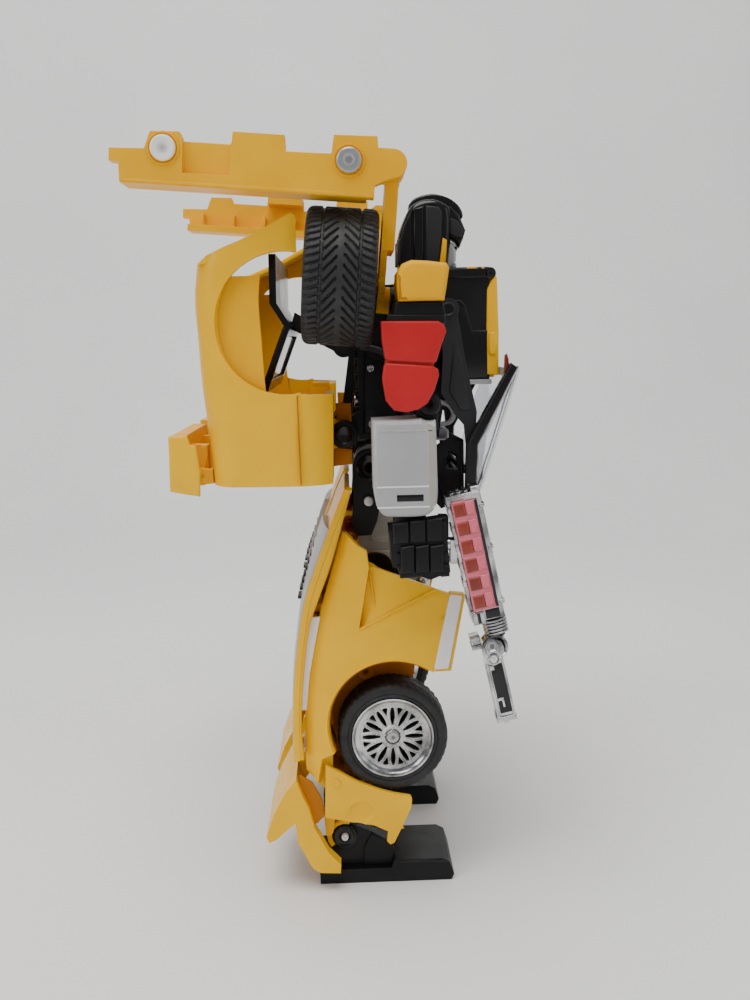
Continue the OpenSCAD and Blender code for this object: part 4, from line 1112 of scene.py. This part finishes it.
def arm(key):
    part = Half(key, "arm")
    inner, outer = part.reach("shoulder_cap")
    cap = [(23.4, 190.6), (23, 195), (23.2, 198.8), (24.6, 200.9), (27.2, 201.9), (32, 201.6),
        (37.2, 200.9), (37.9, 199.6), (37.2, 195), (36.4, 190.6)]
    part.plate("shoulder_moulding", cap, inner, outer, YELLOW, 1.6, steps=5, node="shoulder_cap")
    # orange strip on the back corner of the cap: painted shade where the cap rounds away
    part.plate("shoulder_facet", [(23.6, 191), (26, 191), (26, 196.6), (23.5, 198)],
        62, 65.9, ORANGE, 0.5)
    inner, outer = part.reach("upper_arm")
    collar = [(21.4, 184.2), (36.6, 183.9), (36.9, 186.4), (36.2, 190.4), (22.4, 190.4)]
    part.plate("arm_collar", collar, 48.6, outer - 1.2, BLACK, 0.6)
    part.plate("arm_collar_low", [(19.2, 183.6), (35.4, 183.2), (36.8, 184.6), (36.6, 186.6),
        (20.2, 187)], 48, outer - 0.5, BLACK, 0.5)
    core = [(18.8, 185), (34.8, 184.8), (36.1, 182.3), (34.5, 177.7), (33.2, 172.6)]
    cheek = core + [(34, 170), (32.5, 165.1), (30.7, 162), (27, 160), (22, 160.4), (19.8, 162.9),
        (18.9, 168.7), (19.9, 174), (19, 179.6)]
    part.plate("arm_core", core + [(33.8, 168.6), (26, 166.6), (19.2, 167), (19.9, 174), (19, 179.6)],
        inner + 1, 61, RED, 0.4, node="upper_arm")
    part.plate("arm_cheek", cheek, 60.6, outer - 0.6, RED, 0.5)
    part.plate("arm_cheek_in", cheek, inner, 51.8, RED, 0.8, steps=3)
    upper = [(18.2, 185.2), (34.6, 184.9), (36.2, 183.9), (36.9, 182), (35.3, 177.7), (34, 173.6),
        (33.2, 173), (20, 174), (19.2, 174.8), (18.4, 179.6)]
    part.plate("arm_plate", upper, outer - 1.2, outer + 0.6, RED, 0.9, steps=5)
    lower = [(19.5, 173.5), (32.6, 172.4), (34.4, 171.4), (34.7, 169.6), (33.2, 165.1), (31.2, 161.6),
        (28.6, 159.9), (25, 159.2), (21.6, 159.8), (19.2, 162.7), (18.3, 168.7), (18.8, 172.6)]
    part.plate("arm_lower_plate", lower, outer - 1.2, outer + 0.5, RED, 0.9, steps=5)
    elbow_x, elbow_z = part.pin("elbow_bend")
    part.disc("elbow_cap", 3.2, 60.4, 62.4, elbow_x, elbow_z, BLACK, 0.9, 36)

    part = Half(key, "lower_arm")
    inner, outer = part.reach("forearm")
    skin = [(15.2, 156.9), (29.3, 157.3), *arc(elbow_x, elbow_z, 4.5, 235, 290, 8), (33.7, 155.4),
        (34, 135.6)]
    skin += smooth_line([(33.7, 132.6), (32.2, 130), (29.4, 128.7), (20.4, 128.7), (17.6, 129.6),
        (15.9, 132.2)], 4)
    part.plate("forearm_skin", skin + [(15.3, 135.6)], inner, outer, LIGHT_GREY, 1.5, steps=5,
        node="forearm")
    part.plate("forearm_knuckle", arc(elbow_x, elbow_z, 3.7, -40, 200, 20) + [(28.6, 150), (33.6, 152)],
        52.3, 60, BLACK, 0.3)
    part.box("forearm_slot", 21.9, 29.7, outer - 0.8, outer + 0.06, 133.3, 135.3, GLOSS, 0.1)
    for n, z in enumerate((137.4, 131.4)):
        part.plate("forearm_band", [(16.2, z), (33.4, z), (33.4, z + 0.45), (16.2, z + 0.45)],
            outer - 0.5, outer + 0.1, WHITE, 0.12, n=n)
    part.box("forearm_band_top", 16.6, 32.6, outer - 0.4, outer + 0.12, 153.6, 154.1, WARM_GREY, 0.12)
    # warm grey strip down the front edge: painted shade where the forearm rounds off
    part.plate("forearm_edge", [(31, 156.2), (33, 155), (33.4, 132.6), (31.4, 130.2)],
        outer - 0.4, outer + 0.12, WARM_GREY, 0.12)

    part = Half(key, "fist")
    rounded(f"hand_{key}", 0.7, 3)
    for n in range(3):
        x = 20.6 + 4.95 * n
        top, foot_z = 126.6 + 0.1 * (x - 20.3), 120.4 + 0.04 * (x - 20.3)
        part.plate("finger", [(x, foot_z), (x + 4.75, foot_z + 0.2), (x + 4.75, top + 0.45), (x, top)],
            60.2, 64.2, BLACK, 0.7, n=n, steps=3)
        x = 22.7 + 4.35 * n
        part.plate("finger_low", [(x, 111.8), (x + 4.15, 112), (x + 4.15, 120.2), (x, 119.6)],
            60.6, 64.6, BLACK, 0.7, n=n, steps=3)
    part.plate("knuckle", [(21, 116.2), (22.6, 109.6), (36.2, 110.2), (36.8, 112.4), (36.6, 114.6),
        (22, 116.6)], 51, 62.4, BLACK, 0.8, steps=3)
    part.plate("thumb", [(34.6, 128), (37.3, 127.8), (37.3, 121.6), (34.6, 121.4)],
        55, 61.4, BLACK, 0.6, steps=3)
    part.plate("thumb_low", [(34.8, 116), (37.4, 115.4), (37.4, 109.8), (34.8, 109.6)],
        54, 62, BLACK, 0.6, steps=3)


GUN_Y = -57.5
DRUM_PITCH = 5.7


def leant(x, y, z, degrees):
    """Frame at a drawing point, leaning backwards at its lower end."""
    return Matrix.Translation((x, y, z)) @ Matrix.Rotation(-math.radians(degrees), 4, "Y")


def gun():
    """Chrome blaster with a pink drum. Its spring neck is set forward of the grip."""
    body = "gun"
    top = leant(41.6, GUN_Y, 132.9, 11.4)
    grip = leant(47.8, GUN_Y, 96.4, 12)
    rounded("gun_body", 0.3, 2)
    rounded("gun_drum", 0.9, 4)

    def block(name, x0, x1, y0, y1, z0, z1, base, look, round_r=0.3):
        return plate(name, block_outline(x0, x1, z0, z1), y0, y1, -1, body, look, round_r, turn=base)

    for i in range(6):
        z = -4.8 - i * DRUM_PITCH
        block(f"drum_cell_{i}", -3.5, -0.1, 3.9, 5.25, z, z + 4, top, RUST, 0.45)
        block(f"drum_rim_{i}", -3.7, 0.2, 4.2, 5.2, z + 4.15, z + 4.75, top, PINK, 0.2)
        block(f"drum_lobe_{i}", 0, 2.8, 4, 5.5, z + 0.1, z + 4.4, top, PINK, 0.7)
        block(f"rail_notch_{i}", -5.2, -3.9, -3.4, 3.4, z + 1, z + 3.4, top, CHROME, 0.3)
    for n, z in enumerate((-33.4, -16.4, -3.4)):
        block(f"gun_rib_{n}", 4.3, 5.9, -4.3, 4.3, z, z + 1.1, top, CHROME, 0.3)
    block("gun_rail", 4.8, 5.7, -1.4, 1.4, -34.5, 1, top, CHROME, 0.4)
    block("gun_rail_back", 2.9, 3.8, -3.8, 5.1, -33.6, -0.6, top, GREY, 0.2)
    block("gun_top_plate", -4.7, 4.8, -4.4, 4.4, 0.9, 1.8, top, CHROME, 0.4)
    block("gun_top_knob", 2.6, 5.2, -2.6, 4.6, 1, 3.4, top, CHROME, 0.8)
    for n in range(3):
        block(f"gun_sight_{n}", -3.6 + n * 2.2, -2.5 + n * 2.2, -3.2, 3.2, 1.4, 2.4, top, CHROME, 0.25)
    block("gun_base_dark", -0.6, 3.8, 3, 4.7, -37.2, -34.4, top, GREY, 0.6)
    block("gun_base_channel", -4.6, -0.8, 3.2, 4.6, -38.4, -34.4, top, CHROME, 0.5)
    block("gun_base_slot", -3.2, -2.2, 4.3, 4.8, -38, -34.8, top, GREY, 0.2)
    # grip: the round boss with its nut, the side lug, a sunk dark panel with a bright step, and the foot
    boss = grip @ outwards(1.4, 0, -9.6, -1)
    disc("gun_boss", 3.9, 2.4, 4.2, boss, body, CHROME, 0.5, 36, dish=0.9)
    disc("gun_boss_nut", 2.3, 3.2, 5.2, grip @ outwards(0.2, 0, -8.6, -1), body, STEEL, 0.5, 6, dish=0.3)
    disc("gun_boss_low", 1.9, 3, 4.6, grip @ outwards(0, 0, -13, -1), body, CHROME, 0.4, 28, dish=0.5)
    for n, z in enumerate((-9.2, -6.6)):
        block(f"gun_lug_{n}", -5.6, -2.6, -2.8, 3.4, z, z + 1.3, grip, CHROME, 0.3)
    block("gun_lug_back", -5.4, -4.6, -2.4, 2.6, -9, -5.4, grip, CHROME, 0.25)
    block("grip_panel", -1.5, 2.2, 2.6, 3.3, -30.8, -15, grip, GREY, 0.2)
    block("grip_edge_back", -2.9, -1.8, 2.4, 3.7, -32.4, -14.6, grip, CHROME, 0.3)
    block("grip_edge_front", 2.1, 2.9, 2.4, 3.6, -32, -11, grip, CHROME, 0.3)
    block("grip_step", -1.7, 0.4, 3, 3.7, -26.6, -25.7, grip, CHROME, 0.2)
    block("grip_step_low", -0.3, 0.4, 3, 3.7, -28.8, -25.9, grip, CHROME, 0.2)
    block("grip_cross", -1.9, -0.4, 3, 3.8, -16.6, -15, grip, CHROME, 0.25)
    block("grip_foot", -3.1, 3.1, -3.6, 3.8, -33.4, -31.8, grip, CHROME, 0.4)
    block("grip_back_panel", -1.9, 1.9, -3.7, -2.6, -30.6, -13, grip, CHROME, 0.4)
    coil = []
    turns, per_turn = 5, 24
    for i in range(turns * per_turn + 1):
        a = 2 * math.pi * i / per_turn
        coil.append(tuple(grip @ Vector((3 + 3.5 * math.cos(a), 3.5 * math.sin(a), -6.4 + i / per_turn))))
    spring = tube("gun_coil", coil, 0.36, body, STEEL, 12)
    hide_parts("gun_spring")
    core = grip @ upwards(3, 0, 0)
    disc("gun_neck", 2.5, -7, -0.9, core, body, GREY, 0.3, 32)


# ---------- Rear quarters, spoilers, wheel arms and sill panels ----------


def quarter(key):
    """Rear corner of the car: a curved skin round the side and the back, with an open wheel arch."""
    part = Half(key, "quarter")
    side = part.side
    face = part.reach("quarter_shell")[1]
    inner = 8
    arch_x, arch_z, arch_r = -9, 185.2, 20.4
    corner = 8
    back = smooth_line([(-32.2, 138), (-33, 151), (-34.6, 167), (-35.2, 181), (-35.6, 192.4),
        (-34.4, 202.9)], 4)

    def back_x(z):
        for (x0, z0), (x1, z1) in zip(back, back[1:]):
            if z <= z1:
                return x0 + (x1 - x0) * (z - z0) / max(z1 - z0, 1e-6)
        return back[-1][0] + (z - back[-1][1]) * 0.5

    def lift(u, z):
        """u is x along the side; past the rounded corner it runs towards the middle."""
        edge = back_x(z)
        start = edge + corner
        if u >= start:
            bow = 0.8 * math.sin(math.pi * min(1, max(0, (z - 137) / 78)))
            inwards = 0.09 * max(0, u + 5.4) ** 1.8 + 0.4 * max(0, min(1, (u + 6.3) / 0.5))
            return u, side * (face - 0.9 + bow * 0.9 - inwards), z
        turn = (start - u) / (corner * math.pi / 2)
        if turn < 1:
            a = turn * math.pi / 2
            return start - corner * math.sin(a), side * (face - corner * (1 - math.cos(a)) - 0.4), z
        return edge, side * (face - corner - (start - corner * math.pi / 2 - u) - 0.4), z

    liner_z, liner_height, bend_at = 142, 57, 0.35

    def liner_spot(i, j):
        """Runs from the arch round the inside of the corner towards the middle."""
        z = liner_z + liner_height * i
        x = back_x(z) + 3
        reach = 16 * max(0, 1 - j / bend_at)
        y = face - 3.6 if j < bend_at else face - 3.6 - (face - 3.6 - inner - 1) * (j - bend_at) / 0.65
        bend = 4 * math.exp(-((j - bend_at) / 0.08) ** 2) * 0.4
        return x + reach + bend, side * y, z

    far_u = back_x(170) + corner - corner * math.pi / 2 - (face - corner - inner)
    roof = [(-31, 204.9), (-18, 210.1), (-6.5, 216.1)]
    outline = [(far_u, 138.2), (-34, 138.2), (-20, 137.8), (3.4, 137.6), (4.1, 164.4), (-5.2, 164.7)]
    outline += arc(arch_x, arch_z, arch_r, 281, 79, 30)
    outline += [(-5.2, 215.3)] + roof[::-1] + [(-33.6, 203.9), (-36, 202.9), (far_u, 202.6)]
    seam = [(-5.8, 138), (-6.3, 164.6)]
    panel(f"quarter_skin_{key}", outline, lift, 2.1, part.body, SHELL,
        lines=[seam, [(-5.4, 138), (-5.9, 164.6)]],
        step=1.9, edge=0.35, replaces=[f"quarter_shell_{key}"])
    # seam between the quarter and the door sill, shelf, front wall, roof strip and hinge bosses
    part.plate("quarter_seam", [(-6.2, 138.2), (-5.8, 138.2), (-6.1, 164.4), (-6.5, 164.4)],
        face - 0.8, face + 0.1, ORANGE, 0.1)
    part.plate("quarter_shelf", [(-31, 138), (2.4, 137.7), (2.4, 139.8), (-31, 140.2)],
        34, face - 4.6, YELLOW, 0.4)
    part.plate("quarter_wall", [(1.6, 137.8), (3.4, 137.7), (4.1, 164.3), (1.6, 164.3)],
        31, face - 6.6, YELLOW, 0.4)
    part.plate("quarter_roof", [(-33.6, 202.2), *roof, (-6.5, 213.8), (-18, 207.8), (-31, 202.4)],
        44, face - 1.6, SHELL, 0.6)
    part.plate("quarter_deck", [(-5, 164.2), (4, 164), (4, 162.4), (-5, 162.6)],
        46, face - 6.6, YELLOW, 0.4)
    hinge_x, hinge_z = part.pin("quarter_fold")
    part.disc("quarter_boss", 4.4, 31, 41, hinge_x, hinge_z, BLACK, 0.6, 36)
    part.disc("quarter_cap", 3, 40.6, 42.2, hinge_x, hinge_z, GLOSS, 0.5, 32, dish=0.4)
    part.plate("quarter_lug", [(3.4, 141), (8.6, 141.6), (9.4, 146.4), (3.8, 147.6)], 32, 40, ORANGE, 0.6)
    part.plate("quarter_block", [(4.6, 160.6), (9.4, 160.4), (9.5, 153), (9.3, 141.1), (4.8, 140.8)],
        33.5, 36.5, ORANGE, 0.5)
    part.plate("quarter_web", [(2, 146), (hinge_x, 147), (hinge_x, 155), (2, 156)], 32, 40, YELLOW, 0.6)
    tail_x, tail_z = part.pin("spoiler_fold")
    for n, y in enumerate((16, 53)):
        part.disc("tail_lug", 2.6, y - 2.85, y + 0.15, tail_x, tail_z, YELLOW, 0.4, 28, n=n)
        part.plate("tail_lug_web", [(-36, 138.1), (-32.4, 138.4), (-32.6, 142.8), (-36, 142.9)],
            y - 2.7, y, YELLOW, 0.4, n=n)
    # smooth liner of the rear corner, and stiffeners seen through the arch and from the front
    sheet(f"quarter_liner_{key}", 24, 26, liner_spot, 0.5, part.body, YELLOW, 0.1, flip=side > 0)
    for n, z in enumerate((150, 158)):
        part.box("quarter_rib", -30, -7, face - 6, face - 2.6, z, z + 1.2, YELLOW, 0.2, n=n)
    part.plate("boot_rib", [(-31.2, 141), (-28.6, 141), (-31, 180), (-33.2, 198)], 20, 21.2, YELLOW, 0.2)


def tail(key):
    part = Half(key, "tail")
    rounded(f"spoiler_{key}", 0.8, 3)
    part.plate("spoiler_end", [(-44.7, 137), (-44.5, 153.4), (-39, 153.3), (-38.2, 150.6), (-36.6, 150.3),
        (-36.3, 148.3), (-35.7, 143), (-36, 135.3)], 56.6, 58.8, SHELL, 0.7, steps=3)
    part.plate("spoiler_web", [(-38, 149.9), (-34.4, 149.7), (-34.1, 138.6), (-38, 138.6)],
        44, 49.6, YELLOW, 0.4)


def wheel_arm(key):
    part = Half(key, "swing")
    side = part.side
    rounded(f"swing_arm_{key}", 0.45, 3)
    front_x = 3.4
    for n, (y, z) in enumerate([(46, 20), (54, 33)]):
        matrix = LEANING @ forwards(front_x, side * y, z)
        disc(f"swing_screw_{key}_{n}", 1.5, 0, 0.9, matrix, part.body, STEEL, 0.3, 20, dish=0.3)


def sill(key):
    part = Half(key, "sill")
    side = part.side
    rounded(f"sill_panel_{key}", 0.45, 3)
    face = part.reach("sill_panel")[1] - 0.8
    for n, (x, look) in enumerate(((-61.3, WHITE), (-10.5, SILVER))):
        matrix = LEANING @ outwards(x, 0, 36.1, side)
        lathe(f"sill_ring_{key}_{n}", [(3.7, face - 0.5), (4.6, face - 0.5), (4.55, face + 0.15),
            (4.4, face + 0.4), (4, face + 0.4), (3.75, face + 0.1)], matrix, part.body, YELLOW, 48)
        disc(f"sill_disc_{key}_{n}", 3.5, face - 0.4, face + 1.3, matrix, part.body, look, 0.5, 40,
            dish=0.15)
    part.plate("sill_lip", [(-72.6, 26.6), (-3.2, 26.6), (-3.2, 27.6), (-72.4, 27.6)],
        face - 0.4, face + 0.2, YELLOW, 0.3, turn=LEANING)
    part.plate("sill_tab", [(-27.8, 36), (-16, 36.2), (-16, 37.6), (-27.8, 37.4)],
        face - 3.5, face - 0.5, YELLOW, 0.3, turn=LEANING)
    for n, x in enumerate((-68, -56, -44, -32, -20, -9)):
        part.plate("sill_rib", [(x, 29), (x + 1.2, 29), (x + 1.2, 33.6), (x, 33.6)],
            face - 11, face - 4.4, YELLOW, 0.2, n=n, turn=LEANING)


# ---------- Camera, floor and light ----------


def camera():
    """At the photograph's angle: a little above the waist, looking 9 degrees down with a slight roll."""
    data = bpy.data.cameras.new("camera")
    data.sensor_fit = "VERTICAL"
    data.sensor_height = 36
    data.lens = 36
    data.clip_start = 0.02
    obj = bpy.data.objects.new("camera", data)
    bpy.context.scene.collection.objects.link(obj)
    down, yaw, roll = math.radians(9.0), math.radians(1.5), math.radians(1.3)
    look = Vector((math.sin(yaw) * math.cos(down), math.cos(yaw) * math.cos(down), -math.sin(down)))
    right = Vector((math.cos(yaw), -math.sin(yaw), 0))
    up = right.cross(look)
    turned_up = up * math.cos(roll) + right * math.sin(roll)
    turned_right = right * math.cos(roll) - up * math.sin(roll)
    matrix = Matrix((turned_right, turned_up, -look)).transposed().to_4x4()
    matrix.translation = place(8.0, -352, 179.5)
    obj.matrix_world = matrix
    bpy.context.scene.camera = obj


def room():
    """A plain pale floor that rises into a plain pale wall."""
    s = Shader("floor_paint")
    s.set(Base_Color=s.blend(s.span(s.noise(6, 5), 0.3, 0.7), (0.88, 0.88, 0.87), (0.83, 0.83, 0.825)))
    s.set(Roughness=s.span(s.noise(30, 3), 0.3, 0.7, 0.62, 0.75))
    s.set(Normal=s.bump(s.noise(900, 3), 0.2, 0.0001))
    bm = bmesh.new()
    profile = [(-1.6, 0.0), (0.55, 0.0)]
    profile += [(0.55 + 0.3 * math.sin(a), 0.3 - 0.3 * math.cos(a))
        for a in (math.radians(9 * i) for i in range(1, 11))]
    profile.append((0.85, 2.4))
    rows = [[bm.verts.new((x, y, z)) for x in (-2.4, 2.4)] for y, z in profile]
    for first, second in zip(rows, rows[1:]):
        bm.faces.new((first[0], first[1], second[1], second[0]))
    mesh = mesh_from(bm, "floor", 40)
    floor = bpy.data.objects.new("floor", mesh)
    bpy.context.scene.collection.objects.link(floor)
    mesh.materials.append(s.material)


def light(name, at, aim, size, power, tint=(1, 1, 1)):
    data = bpy.data.lights.new(name, "AREA")
    data.size = size
    data.energy = power
    data.color = tint
    obj = bpy.data.objects.new(name, data)
    bpy.context.scene.collection.objects.link(obj)
    obj.location = at
    obj.rotation_euler = (Vector(aim) - Vector(at)).to_track_quat("-Z", "Y").to_euler()


def lights():
    world = bpy.data.worlds.new("studio")
    bpy.context.scene.world = world
    world.use_nodes = True
    background = world.node_tree.nodes["Background"]
    background.inputs["Color"].default_value = (0.86, 0.87, 0.9, 1)
    background.inputs["Strength"].default_value = 0.42
    middle = (0, 0, 0.12)
    light("overhead", (-0.15, -0.3, 1.25), middle, 0.9, 16.5, (1.0, 0.98, 0.95))
    light("left_window", (-1.1, -0.8, 0.75), middle, 0.6, 4.5, (0.96, 0.98, 1.0))
    light("right_fill", (1.2, -0.9, 0.7), middle, 0.9, 3)


camera()
room()
lights()
wheels()
both_sides(leg_fender, bonnet, shin, bumper, foot, upper_leg)
torso()
chest()
head()
windscreen()
back_window()
both_sides(arm)
gun()
both_sides(quarter, tail, wheel_arm, sill)
